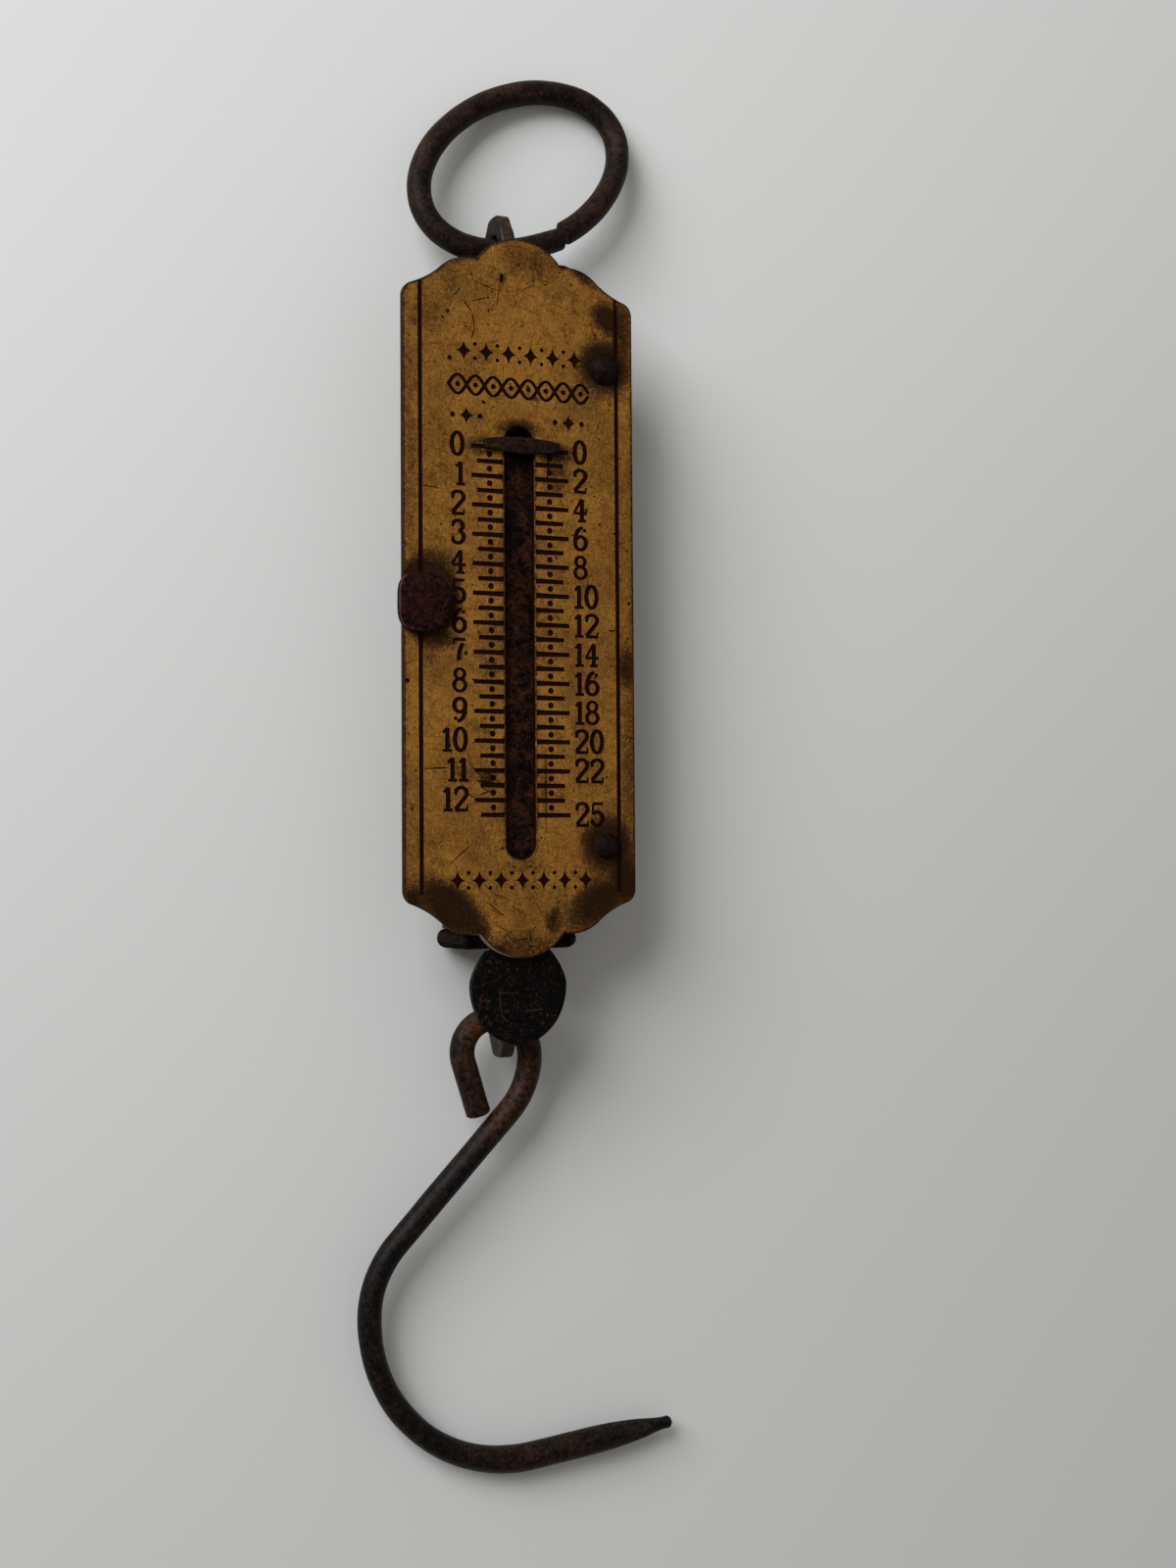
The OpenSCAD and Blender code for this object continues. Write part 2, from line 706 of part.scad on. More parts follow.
// The ring in its own plane, measured from the middle of its hole in the lug
function on_oval(a) = let (p = [ring_a * cos(a), ring_b * sin(a)])
    [p.x * cos(ring_skew) - p.y * sin(ring_skew), p.x * sin(ring_skew) + p.y * cos(ring_skew)];
RING_STEPS = 63;
slit_angle = ring_slit / ring_a * 90 / PI;
ring_flat = [for (i = [0 : RING_STEPS])
    on_oval(ring_split + slit_angle + (360 - 2 * slit_angle) * i / RING_STEPS) - on_oval(ring_hang)];
ring_reach = max([for (p = ring_flat) p.y]);
ring_lean = asin((axis_z - ring_wire_r) / ring_reach);
ring_path = [for (p = ring_flat)
    [p.x, ring_hole_y + p.y * cos(ring_lean), axis_z - p.y * sin(ring_lean)]];

module ring() {
    color(IRON) tube(ring_path, [for (p = ring_path) ring_wire_r], 12,
        [0, sin(ring_lean), cos(ring_lean)]);
}

// The hook in its own plane, as bends of [radius, turn, steps] and straights of
// [length, 0, steps], from the free end of the eye to the point
HOOK_BENDS = [
    [hook_end_len, 0, 4],
    [eye_free_r, -hook_start, 10],
    [eye_shank_r, -90, 8],
    [neck_r, -shank_turn, 5],
    [shank_len, 0, 6],
    [back_r, shank_turn, 5],
    [load_r, 90, 14],
    [load_r, point_rise, 1],
    [point_len, 0, 16]];
EYE_TOP_STEP = 14;
hook_steps = [for (b = HOOK_BENDS, k = [1 : b[2]])
    b[1] == 0 ? [b[0] / b[2], 0] : [2 * b[0] * sin(abs(b[1]) / b[2] / 2), b[1] / b[2]]];
hook_walk = [for (i = 0, h = hook_start, p = [0, 0]; i <= len(hook_steps);
    p = i < len(hook_steps)
        ? p + hook_steps[i][0] * [cos(h + hook_steps[i][1] / 2), sin(h + hook_steps[i][1] / 2)]
        : p,
    h = i < len(hook_steps) ? h + hook_steps[i][1] : h,
    i = i + 1) p];
hook_flat = [for (p = hook_walk) p - hook_walk[EYE_TOP_STEP] + eye_top];
hook_along = along(hook_flat);
hook_total = hook_along[len(hook_along) - 1];
// Radius of the wire at distances from the point
HOOK_TAPER = [[0, 0.8], [0.9, 0.73], [3.7, 1.3], [6.4, 1.75], [11.9, belly_r], [28, belly_r],
    [42, hook_wire_r]];
hook_radii = [for (s = hook_along) lookup(hook_total - s, HOOK_TAPER)];
hook_reach = -min([for (p = hook_flat) p.y]);
hook_lean = asin((axis_z - belly_r) / hook_reach);
hook_path = [for (p = hook_flat)
    [p.x, hook_hole_y + p.y * cos(hook_lean), axis_z + p.y * sin(hook_lean)]];

module hook() {
    color(RUST) tube(hook_path, hook_radii, 12, [0, -sin(hook_lean), cos(hook_lean)]);
}

face_plate();
back_trough();
top_cap();
bottom_cap();
top_cap_pins();
bottom_cap_pins();
upper_rivet();
lower_rivet();
side_rivet();
ring_lug();
lug_key();
spring();
spring_foot();
draw_bar();
pointer_stud();
pointer();
hook_lug();
ring();
hook();
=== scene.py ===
# %% [markdown]
# # A pocket spring balance
# The balance lies on its back on a pale table: a scalloped brass face, a dark iron case behind
# it, an oval iron ring above and a long pointed hook below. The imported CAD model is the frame.
# It says where everything is and what moves, and this script adds the looks.

# %% Load the frame
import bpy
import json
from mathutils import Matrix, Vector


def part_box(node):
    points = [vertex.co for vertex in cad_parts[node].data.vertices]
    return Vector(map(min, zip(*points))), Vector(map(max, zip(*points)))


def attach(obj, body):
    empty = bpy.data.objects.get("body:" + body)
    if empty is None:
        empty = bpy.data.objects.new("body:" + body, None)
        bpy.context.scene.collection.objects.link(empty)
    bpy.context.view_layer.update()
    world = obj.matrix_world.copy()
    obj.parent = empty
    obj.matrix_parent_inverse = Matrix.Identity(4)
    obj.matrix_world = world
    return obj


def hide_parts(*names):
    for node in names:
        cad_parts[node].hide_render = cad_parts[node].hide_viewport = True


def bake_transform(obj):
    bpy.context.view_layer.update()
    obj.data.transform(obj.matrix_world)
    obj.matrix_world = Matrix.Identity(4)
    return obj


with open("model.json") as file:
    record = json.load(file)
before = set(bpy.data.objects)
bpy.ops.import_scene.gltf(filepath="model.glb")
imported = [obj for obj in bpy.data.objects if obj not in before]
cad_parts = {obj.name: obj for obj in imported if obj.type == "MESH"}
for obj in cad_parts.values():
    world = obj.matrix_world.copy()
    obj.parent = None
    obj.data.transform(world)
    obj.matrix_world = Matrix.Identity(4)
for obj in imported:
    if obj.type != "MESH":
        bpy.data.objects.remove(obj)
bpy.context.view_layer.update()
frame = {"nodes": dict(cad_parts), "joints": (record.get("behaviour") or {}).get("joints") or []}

import json
import math

import bmesh
import bpy
import numpy as np
from mathutils import Matrix, Vector
from mathutils.geometry import delaunay_2d_cdt

MM = 0.001
nodes = frame["nodes"]
scene = bpy.context.scene

# %% [markdown]
# ## Sizes that come from the frame
# Every piece takes its place from the box of its CAD node, so that nothing has to be fitted by
# eye. The shapes below are worked out in millimetres, and they are turned into metres once,
# when the mesh is made.


# %% Places of the pieces
def low(node):
    """Lowest corner of a CAD node's box, in millimetres."""
    return np.array(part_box(node)[0]) / MM


def high(node):
    """Highest corner of a CAD node's box, in millimetres."""
    return np.array(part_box(node)[1]) / MM


def middle(node):
    """Middle of a CAD node's box, in millimetres."""
    return (low(node) + high(node)) / 2


FACE_Z = high("face_plate")[2]
PLATE_T = FACE_Z - low("face_plate")[2]
PLATE_HALF = high("face_plate")[0]
TIP_Y = high("face_plate")[1]
JOINTS = {j["name"]: j for j in frame["joints"]}
RING_EYE = np.array(JOINTS["ring_swing"]["pos_m"]) / MM
HOOK_EYE = np.array(JOINTS["hook_swing"]["pos_m"]) / MM
AXIS_Z = RING_EYE[2]
print(f"face at {FACE_Z:.2f} mm, plate {2 * PLATE_HALF:.1f} by {2 * TIP_Y:.1f} mm")

# %% [markdown]
# ## Camera
# The photo was taken from the left of the balance, about 33 cm away. A camera is a place and
# a turn. The turn is built from three simple ones, about the camera's own Y, X and Z, and
# the lens follows from the angle of view: the sensor's 36 mm lie along the long side.

# %% Camera
SENSOR = 36.0
FOCAL_PX = 2219
IMAGE_LONG = 1600
CAMERA_TURN = 23.0
CAMERA_TILT = -2.5
CAMERA_ROLL = 0.4
CLIP_START = 0.01
CAMERA_FROM_FACE = Vector((-10.2, 28.6, -331.0))

world_to_camera = (Matrix.Rotation(math.radians(CAMERA_ROLL), 3, "Z")
                   @ Matrix.Rotation(math.radians(CAMERA_TILT), 3, "X")
                   @ Matrix.Rotation(math.radians(CAMERA_TURN), 3, "Y"))
camera_data = bpy.data.cameras.new("camera")
camera_data.lens = FOCAL_PX / IMAGE_LONG * SENSOR
camera_data.sensor_width = SENSOR
camera = bpy.data.objects.new("camera", camera_data)
place = -(world_to_camera.transposed() @ CAMERA_FROM_FACE) + Vector((0, 0, FACE_Z))
camera.matrix_world = Matrix.Translation(place * MM) @ world_to_camera.transposed().to_4x4()
camera_data.clip_start = CLIP_START
scene.collection.objects.link(camera)
scene.camera = camera
print(f"lens {camera_data.lens:.1f} mm, camera {place.z:.0f} mm above the table")

# %% [markdown]
# ## Turning arrays into meshes
# A new piece is an array of points and a list of faces. `make` turns both into an object whose
# place is in its mesh, and hides the CAD node that it stands for. Edges sharper than an angle
# stay crisp, and the others are shaded smooth.


# %% Mesh helpers
def placed(mesh, body, material, node, crisp=35.0):
    """Shades a mesh and puts it in the scene as the piece that stands for a CAD node."""
    mesh.polygons.foreach_set("use_smooth", np.ones(len(mesh.polygons), bool))
    mesh.set_sharp_from_angle(angle=math.radians(crisp))
    mesh.materials.append(material)
    piece = bpy.data.objects.new(mesh.name, mesh)
    scene.collection.objects.link(piece)
    if body:
        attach(piece, body)
    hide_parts(node)
    return piece


def make(name, points, faces, body, material, node, crisp=35.0):
    """Makes a piece from points in millimetres and faces as lists of point numbers."""
    mesh = bpy.data.meshes.new(name)
    mesh.from_pydata((np.asarray(points) * MM).tolist(), [], [list(map(int, f)) for f in faces])
    mesh.validate()
    return placed(mesh, body, material, node, crisp)


def attribute(piece, name, values):
    """Gives each vertex a number that a material can read by name."""
    layer = piece.data.attributes.new(name, "FLOAT", "POINT")
    layer.data.foreach_set("value", np.asarray(values, np.float32))


def repaint(piece, material, chosen):
    """Gives a second material to the faces that a test chooses."""
    piece.data.materials.append(material)
    faces = piece.data.polygons
    faces.foreach_set("material_index", [int(chosen(f)) for f in faces])


def grid_faces(rows, columns):
    """Four-sided faces of a grid of points, row by row, whose last column joins the first."""
    r = np.arange(rows - 1)[:, None]
    c = np.arange(columns)[None, :]
    n = (c + 1) % columns
    a, b = r * columns + c, r * columns + n
    return np.stack([a, b, b + columns, a + columns], -1).reshape(-1, 4).tolist()


def tube_faces(rows, corners):
    """Faces of a tube, and of a fan round one extra point at each of its ends."""
    first = rows * corners
    last_row = first - corners
    k = np.arange(corners)
    n = (k + 1) % corners
    near_end = np.stack([np.full(corners, first), n, k], 1)
    far_end = np.stack([np.full(corners, first + 1), last_row + k, last_row + n], 1)
    return grid_faces(rows, corners) + near_end.tolist() + far_end.tolist()


def wobble(p, size, seed, rounds=3):
    """Smooth unevenness: a sum of sine waves in directions that the seed fixes, each round
    finer than the last. p is an array of points, size the longest wave in millimetres."""
    rng = np.random.default_rng(seed)
    total = np.zeros(p.shape[:-1])
    for k in range(rounds):
        for _ in range(4):
            way = rng.normal(size=3)
            way *= 2 * np.pi * 1.9 ** k / size / np.linalg.norm(way)
            total += np.sin(p @ way[:p.shape[-1]] + rng.uniform(0, 2 * np.pi)) / 1.8 ** k
    return total / 4


# %% [markdown]
# ## Wire
# The ring, the hook and the spring are bent wire. Wire is a circle carried along a path. The
# circle needs its own sense of up at each point, or the tube twists. All three pieces are flat
# or wound round an axis, so that direction is known for each point: it is the normal of the
# flat, or it points away from the axis. The radius may change along the path and round the
# wire, which is where the hammer marks come from.


# %% Wire along a path
def distances(path):
    """Distance along the path from its start to each point."""
    return np.concatenate([[0], np.cumsum(np.linalg.norm(np.diff(path, axis=0), axis=1))])


def wire(path, radius, corners, side, rough, size, seed, chamfer):
    """Points and faces of a round wire: each path point plus radius times a unit circle that
    is square to the path and starts at the side direction. rough is how far the radius
    wanders, as a share of itself. Both ends are closed, with a chamfer."""
    ahead = np.gradient(path, axis=0)
    ahead = ahead / np.linalg.norm(ahead, axis=1)[:, None]
    side = side - np.sum(side * ahead, 1)[:, None] * ahead
    side = side / np.linalg.norm(side, axis=1)[:, None]
    inner = np.maximum(radius[[0, -1]] - chamfer, 0.05)
    path = np.vstack([path[:1], path[:1] + chamfer * ahead[:1], path[1:-1],
                      path[-1:] - chamfer * ahead[-1:], path[-1:]])
    ahead, side = (np.vstack([v[:1], v, v[-1:]]) for v in (ahead, side))
    radius = np.concatenate([inner[:1], radius, inner[1:]])
    a = 2 * np.pi * np.arange(corners)[None, :, None] / corners
    out = side[:, None] * np.cos(a) + np.cross(ahead, side)[:, None] * np.sin(a)
    base = path[:, None] + radius[:, None, None] * out
    base = base + out * (radius[:, None] * rough * wobble(base, size, seed))[..., None]
    points = np.vstack([base.reshape(-1, 3), path[:1], path[-1:]])
    return points, tube_faces(len(path), corners)


# %% [markdown]
# ## Flat pieces
# The face, the bar, the pointer and the lugs were cut from sheet or flat stock. Such a piece
# is an outline with holes. The flat top is filled with triangles by a constrained Delaunay
# triangulation, which also accepts outlines that overlap, and the edge is a small quarter
# round: the outline is repeated a few times, each time a little further out and lower.


# %% Outlines
def arc(cx, cy, rx, ry, start, stop, steps):
    """Points on an arc of an ellipse, with angles in degrees."""
    a = np.radians(np.linspace(start, stop, steps + 1))
    return np.stack([cx + rx * np.cos(a), cy + ry * np.sin(a)], 1)


def ring_of(cx, cy, r, steps, ry=None):
    """Points round a closed circle or ellipse."""
    return arc(cx, cy, r, ry or r, 0, 360, steps)[:-1]


def area(loop):
    """Signed area of a closed outline; positive when it runs anticlockwise."""
    x, y = loop.T
    return 0.5 * np.sum(x * np.roll(y, -1) - np.roll(x, -1) * y)


def anticlockwise(loop):
    """The outline, turned round if it runs clockwise."""
    return loop if area(loop) > 0 else loop[::-1]


def resampled(loop, step):
    """The closed outline with its straight stretches divided into pieces of about a step."""
    out = []
    for p, q in zip(loop, np.roll(loop, -1, 0)):
        n = max(1, int(round(np.linalg.norm(q - p) / step)))
        out.append(p + (q - p) * np.arange(n)[:, None] / n)
    return np.vstack(out)


def inset(loop, by):
    """The anticlockwise outline moved inwards by a distance; negative moves it outwards. Each
    corner moves along the middle of its two edges' normals."""
    before, after = loop - np.roll(loop, 1, 0), np.roll(loop, -1, 0) - loop
    normals = [np.stack([-e[:, 1], e[:, 0]], 1) / np.linalg.norm(e, axis=1)[:, None]
               for e in (before, after)]
    between = normals[0] + normals[1]
    between /= np.linalg.norm(between, axis=1)[:, None]
    stretch = np.clip(np.sum(between * normals[0], 1), 0.5, 1)
    return loop + between * (by / stretch)[:, None]


def inside(loop, points):
    """Which points lie inside a closed outline, by counting the edges to the right of them."""
    x, y = points[:, :1], points[:, 1:]
    a, b = loop, np.roll(loop, -1, 0)
    spans = (a[:, 1] > y) != (b[:, 1] > y)
    rise = np.where(b[:, 1] == a[:, 1], 1e-12, b[:, 1] - a[:, 1])
    cross = a[:, 0] + (y - a[:, 1]) * (b[:, 0] - a[:, 0]) / rise
    return np.sum(spans & (x < cross), 1) % 2 == 1


def distance_to(loop, points):
    """Distance from each point to the nearest edge of a closed outline."""
    best = np.full(len(points), 1e9)
    for start, edge in zip(loop, np.roll(loop, -1, 0) - loop):
        t = np.clip((points - start) @ edge / max(edge @ edge, 1e-12), 0, 1)
        best = np.minimum(best, np.linalg.norm(points - start - t[:, None] * edge, axis=1))
    return best


# %% Triangles inside outlines
def fill(outer, holes, cuts, loose):
    """Triangulates the inside of an outline without its holes. cuts are further outlines,
    which may overlap. Returns points, triangles and which triangles lie in a cut."""
    loops = [anticlockwise(loop) for loop in (outer, *holes, *cuts)]
    points = [Vector(p) for p in np.vstack([*loops, loose])]
    starts = np.cumsum([0] + [len(loop) for loop in loops])
    rings = [list(range(s, s + len(loop))) for s, loop in zip(starts, loops)]
    out, _, faces, _, _, source = delaunay_2d_cdt(points, [], rings, 1, 1e-6, True)
    hole_ids = set(range(1, 1 + len(holes)))
    ids = [set(origin) for origin in source]
    kept = [i for i, here in enumerate(ids) if 0 in here and not here & hole_ids]
    tris = np.array([faces[i] for i in kept])
    flat = np.array([(v.x, v.y) for v in out])
    a, b, c = flat[tris[:, 0]], flat[tris[:, 1]], flat[tris[:, 2]]
    clockwise = (b - a)[:, 0] * (c - a)[:, 1] - (b - a)[:, 1] * (c - a)[:, 0] < 0
    tris[clockwise] = tris[clockwise][:, ::-1]
    return flat, tris, np.array([bool(ids[i] - {0}) for i in kept])


WELD_STEP = 1e-4


def welded(points, faces):
    """Joins points that lie in the same place, and drops faces that this closes up."""
    keys = np.round(points / WELD_STEP).astype(np.int64)
    _, first, back = np.unique(keys, axis=0, return_index=True, return_inverse=True)
    back = back.ravel()
    kept = [list(dict.fromkeys(int(back[i]) for i in f)) for f in faces]
    return points[first], [f for f in kept if len(f) > 2]


def scattered(outer, holes, corner, far_corner, spacing):
    """Loose points in staggered rows inside an outline, clear of its edge and of its holes."""
    x, y = np.meshgrid(np.arange(corner[0], far_corner[0], spacing),
                       np.arange(corner[1], far_corner[1], spacing))
    x = x + spacing / 2 * (np.arange(x.shape[0]) % 2)[:, None]
    loose = np.stack([x.ravel(), y.ravel()], 1)
    loose = loose[inside(inset(outer, spacing / 2), loose)]
    for hole in holes:
        loose = loose[~inside(inset(hole, -spacing / 2), loose)]
    return loose


def slab(outer, holes, thickness, edge, steps=3, cuts=(), depth=0.0, spacing=None, top=None,
         base=0.0):
    """Points and faces of a flat piece that lies between base and base plus its thickness. Its
    edges are quarter rounds of radius edge, above and below. cuts are sunk into the top by a
    depth, and top is a function that gives each point of the top its own height."""
    loops = [anticlockwise(loop) for loop in (outer, *holes)]
    signs = [1] + [-1] * len(holes)
    flat_loops = [inset(loop, s * edge) for loop, s in zip(loops, signs)]
    loose = np.zeros((0, 2))
    if spacing:
        loose = scattered(flat_loops[0], flat_loops[1:], loops[0].min(0), loops[0].max(0), spacing)
    flat, tris, cut = fill(flat_loops[0], flat_loops[1:], cuts, loose)
    points, faces = [], []

    def add(new):
        start = sum(len(p) for p in points)
        points.append(new)
        return start

    height = np.full(len(flat), float(thickness))
    if top is not None:
        height = height + top(flat)
    upper = add(np.column_stack([flat, height]))
    faces += (tris[~cut] + upper).tolist()
    if cut.any():
        sunk = np.zeros(len(flat), bool)
        sunk[np.unique(tris[cut])] = True
        number = np.cumsum(sunk) - 1
        floor = add(np.column_stack([flat[sunk], height[sunk] - depth]))
        faces += (number[tris[cut]] + floor).tolist()
        start, stop = tris[cut].ravel(), np.roll(tris[cut], -1, 1).ravel()
        alone = ~np.isin(stop * len(flat) + start, start * len(flat) + stop)
        start, stop = start[alone], stop[alone]
        faces += np.stack([upper + start, upper + stop, floor + number[stop],
                           floor + number[start]], 1).tolist()
    under_flat, under_tris, _ = fill(flat_loops[0], flat_loops[1:], [], np.zeros((0, 2)))
    under = add(np.column_stack([under_flat, np.zeros(len(under_flat))]))
    faces += (under_tris[:, ::-1] + under).tolist()
    quarter = np.radians(np.linspace(0, 90, steps + 1))
    profile = [(edge * (1 - math.sin(a)), thickness - edge * (1 - math.cos(a))) for a in quarter]
    profile += [(x, thickness - z) for x, z in profile[::-1]]
    for loop, sign, flat_loop in zip(loops, signs, flat_loops):
        near = np.linalg.norm(flat[None] - flat_loop[:, None], axis=2).argmin(1)
        lift = height[near] - thickness
        strip = []
        for x, z in profile:
            fade = np.clip((z - thickness / 2) / (thickness / 2), 0, 1)
            strip.append(np.column_stack([inset(loop, sign * x), z + lift * fade]))
        start = add(np.vstack(strip))
        faces += [[start + i for i in (f[::-1] if sign > 0 else f)]
                  for f in grid_faces(len(profile), len(loop))]
    points, faces = welded(np.vstack(points), faces)
    points[:, 2] += base
    return points, faces


# %% [markdown]
# ## Node wiring
# A material is a graph. These few helpers keep the wiring readable: each adds one node, sets or
# links its inputs, and gives back its output. Patterns read Object coordinates in millimetres,
# so a scale of 1 is one wave in a millimetre.


# %% Wiring helpers
def srgb(r, g, b):
    """The linear colour of an 8-bit screen colour."""
    c = np.array([r, g, b]) / 255
    return tuple(np.where(c <= 0.04045, c / 12.92, ((c + 0.055) / 1.055) ** 2.4).tolist())


class Wiring:
    """Adds nodes to a tree. A value given for an input is a number, a colour or an output."""

    def __init__(self, tree):
        self.tree = tree

    def put(self, socket, value):
        """Links an output to a socket or sets its value; nothing is done for None."""
        if isinstance(value, bpy.types.NodeSocket):
            self.tree.links.new(value, socket)
        elif value is not None:
            socket.default_value = (*value, 1) if socket.type == "RGBA" else value

    def node(self, kind, out=0, settings=None, **inputs):
        """Adds a node. Its inputs are called by name, or by i and their number."""
        n = self.tree.nodes.new("ShaderNode" + kind)
        for key, value in (settings or {}).items():
            setattr(n, key, value)
        for key, value in inputs.items():
            self.put(n.inputs[int(key[1:]) if key[1:].isdigit() else key], value)
        return n.outputs[out]

    def math(self, operation, a, b, clamp=False):
        return self.node("Math", settings={"operation": operation, "use_clamp": clamp}, i0=a, i1=b)

    def plus(self, a, b, clamp=False):
        return self.math("ADD", a, b, clamp)

    def minus(self, a, b):
        return self.math("SUBTRACT", a, b)

    def times(self, a, b):
        return self.math("MULTIPLY", a, b)

    def most(self, first, *others):
        """The largest of some values."""
        for other in others:
            first = self.math("MAXIMUM", first, other)
        return first

    def vector(self, operation, a, b=None, out=0):
        return self.node("VectorMath", out, {"operation": operation}, i0=a, i1=b)

    def millimetres(self):
        """Object coordinates in millimetres."""
        return self.node("VectorMath", settings={"operation": "SCALE"},
                         i0=self.node("TexCoord", out=3), Scale=1 / MM)

    def parts(self, vector):
        """The three numbers of a vector or a colour."""
        return self.node("SeparateXYZ", i0=vector).node.outputs[:3]

    def noise(self, vector, scale, detail, roughness, distortion=0.0):
        return self.node("TexNoise", Vector=vector, Scale=scale, Detail=detail,
                         Roughness=roughness, Distortion=distortion)

    def ramp(self, value, start, stop, to_start=0.0, to_stop=1.0, smooth=True):
        """Maps start to stop onto two other numbers and holds them outside."""
        kind = "SMOOTHSTEP" if smooth else "LINEAR"
        return self.node("MapRange", settings={"interpolation_type": kind}, i0=value, i1=start,
                         i2=stop, i3=to_start, i4=to_stop)

    def mix(self, share, a, b, blend="MIX"):
        return self.node("Mix", out=2, settings={"data_type": "RGBA", "blend_type": blend},
                         Factor=share, i6=a, i7=b)

    def coat(self, colour, mask, paint):
        """Lays an 8-bit colour over another one where the mask says so."""
        return self.mix(mask, colour, srgb(*paint))

    def named(self, name):
        """A number that the mesh carries for each vertex."""
        return self.node("Attribute", out=2, settings={"attribute_name": name})

    def use(self, tree, **inputs):
        """Places a node group with its own values."""
        return self.node("Group", settings={"node_tree": tree}, **inputs)


def group(name, output, **inputs):
    """Starts a node group with one output. Each input has a number to start from, or None if it
    is a vector. Gives back the group, its wiring, the socket for its result and its inputs."""
    tree = bpy.data.node_groups.new(name, "ShaderNodeTree")
    for label, default in inputs.items():
        kind = "NodeSocketVector" if default is None else "NodeSocketFloat"
        socket = tree.interface.new_socket(label, in_out="INPUT", socket_type=kind)
        if default is not None:
            socket.default_value = default
    tree.interface.new_socket(output, in_out="OUTPUT", socket_type="NodeSocketFloat")
    enter, leave = tree.nodes.new("NodeGroupInput"), tree.nodes.new("NodeGroupOutput")
    return tree, Wiring(tree), leave.inputs[0], enter.outputs[:len(inputs)]


def material(name):
    """A material with an empty Principled shader, and the wiring of its tree."""
    m = bpy.data.materials.new(name)
    m.use_nodes = True
    return m, m.node_tree.nodes["Principled BSDF"], Wiring(m.node_tree)


def fill_in(w, shader, colour, metallic, roughness, shine, normal=None):
    """Gives the shader its colour, three numbers and, where there is relief, its normal."""
    for name, value in (("Base Color", colour), ("Metallic", metallic), ("Roughness", roughness),
                        ("Specular IOR Level", shine), ("Normal", normal)):
        w.put(shader.inputs[name], value)


# %% [markdown]
# ## Effects that several finishes share
# Five node groups do most of the work. Patches breaks a surface into soft-edged areas, as
# tarnish and rust do. Scratches draws short thin lines that mostly run one way: each cell of a
# stretched Voronoi pattern may hold one line through its middle. Specks does the same with dots.
# Pits gives a height for a rusted or cast skin. Stroke marks everything near a line between two
# places, and so draws a single scratch.


# %% Patches
patches, w, result, (vector, scale, cover, softness, grain) = group(
    "Patches", "Mask", Vector=None, Scale=0.3, Cover=0.5, Softness=0.1, Grain=0.6)
limit = w.minus(1.0, cover)
w.put(result, w.ramp(w.noise(vector, scale, 6.0, grain, 0.3), w.minus(limit, softness),
                     w.plus(limit, softness)))

# %% Scratches
scratches, w, result, (vector, turn, across, along, width, share) = group(
    "Scratches", "Mask", Vector=None, Turn=0.0, Across=0.8, Along=0.2, Width=0.05, Share=0.5)
spun = w.node("VectorRotate", settings={"rotation_type": "Z_AXIS"},
              Vector=w.vector("MULTIPLY", vector, (1, 1, 0)), Angle=turn)
x, y, _ = w.parts(spun)
bend = w.node("TexNoise", Vector=spun, Scale=0.07)
x = w.plus(x, w.ramp(bend, 0.2, 0.8, -1.6, 1.6, smooth=False))
cell = w.node("CombineXYZ", X=w.times(x, across), Y=w.times(y, along), Z=0.0)
nearest = w.node("TexVoronoi", settings={"voronoi_dimensions": "2D"}, Vector=cell, Scale=1.0).node
away_x, away_y, _ = w.parts(w.vector("SUBTRACT", cell, nearest.outputs["Position"]))
lot, strength, _ = w.parts(nearest.outputs["Color"])
off = w.math("DIVIDE", w.math("ABSOLUTE", away_x, 0.0), across)
line_mask = w.times(w.ramp(off, 0.0, width, 1.0, 0.0),
                    w.ramp(w.math("ABSOLUTE", away_y, 0.0), 0.1, 0.5, 1.0, 0.0))
chosen = w.math("LESS_THAN", lot, share)
w.put(result, w.times(line_mask, w.times(chosen, strength)))

# %% Specks
specks, w, result, (vector, scale, size) = group(
    "Specks", "Mask", Vector=None, Scale=0.6, Size=0.2)
dots = w.node("TexVoronoi", Vector=vector, Scale=scale).node
lot, strength, _ = w.parts(dots.outputs["Color"])
reach = w.times(w.times(lot, lot), size)
speck = w.ramp(dots.outputs["Distance"], w.times(reach, 0.55), reach, 1.0, 0.0)
w.put(result, w.times(speck, strength))

# %% Pits
pits, w, result, (vector, scale, depth) = group(
    "Pits", "Height", Vector=None, Scale=2.0, Depth=0.5)
dents = w.ramp(w.node("TexVoronoi", Vector=vector, Scale=scale), 0.0, 0.45, 1.0, 0.0)
skin = w.noise(vector, w.times(scale, 1.7), 6.0, 0.65)
w.put(result, w.minus(skin, w.times(dents, depth)))

# %% Strokes
stroke, w, result, (vector, start, stop, width) = group(
    "Stroke", "Mask", Vector=None, Start=None, Stop=None, Width=0.2)
from_start = w.vector("SUBTRACT", w.vector("MULTIPLY", vector, (1, 1, 0)), start)
run = w.vector("SUBTRACT", stop, start)
length = w.most(w.vector("DOT_PRODUCT", run, run, out=1), 1e-6)
share = w.math("DIVIDE", w.vector("DOT_PRODUCT", from_start, run, out=1), length, clamp=True)
nearest = w.node("VectorMath", settings={"operation": "SCALE"}, i0=run, Scale=share)
off = w.vector("LENGTH", w.vector("SUBTRACT", from_start, nearest), out=1)
ragged = w.ramp(w.noise(vector, 2.2, 4.0, 0.7), 0.3, 0.7, -0.45, 0.45, smooth=False)
off = w.plus(off, w.times(ragged, width))
w.put(result, w.ramp(off, w.times(width, 0.25), width, 1.0, 0.0))
print("groups:", [g.name for g in bpy.data.node_groups])

# %% [markdown]
# ## Dark iron
# All the iron pieces have the same story: black scale from the forge, worn to grey steel where
# hands and hooks rub, and brown rust that creeps out of the low places. One function builds the
# finish, and each piece gives its own colours and amounts.

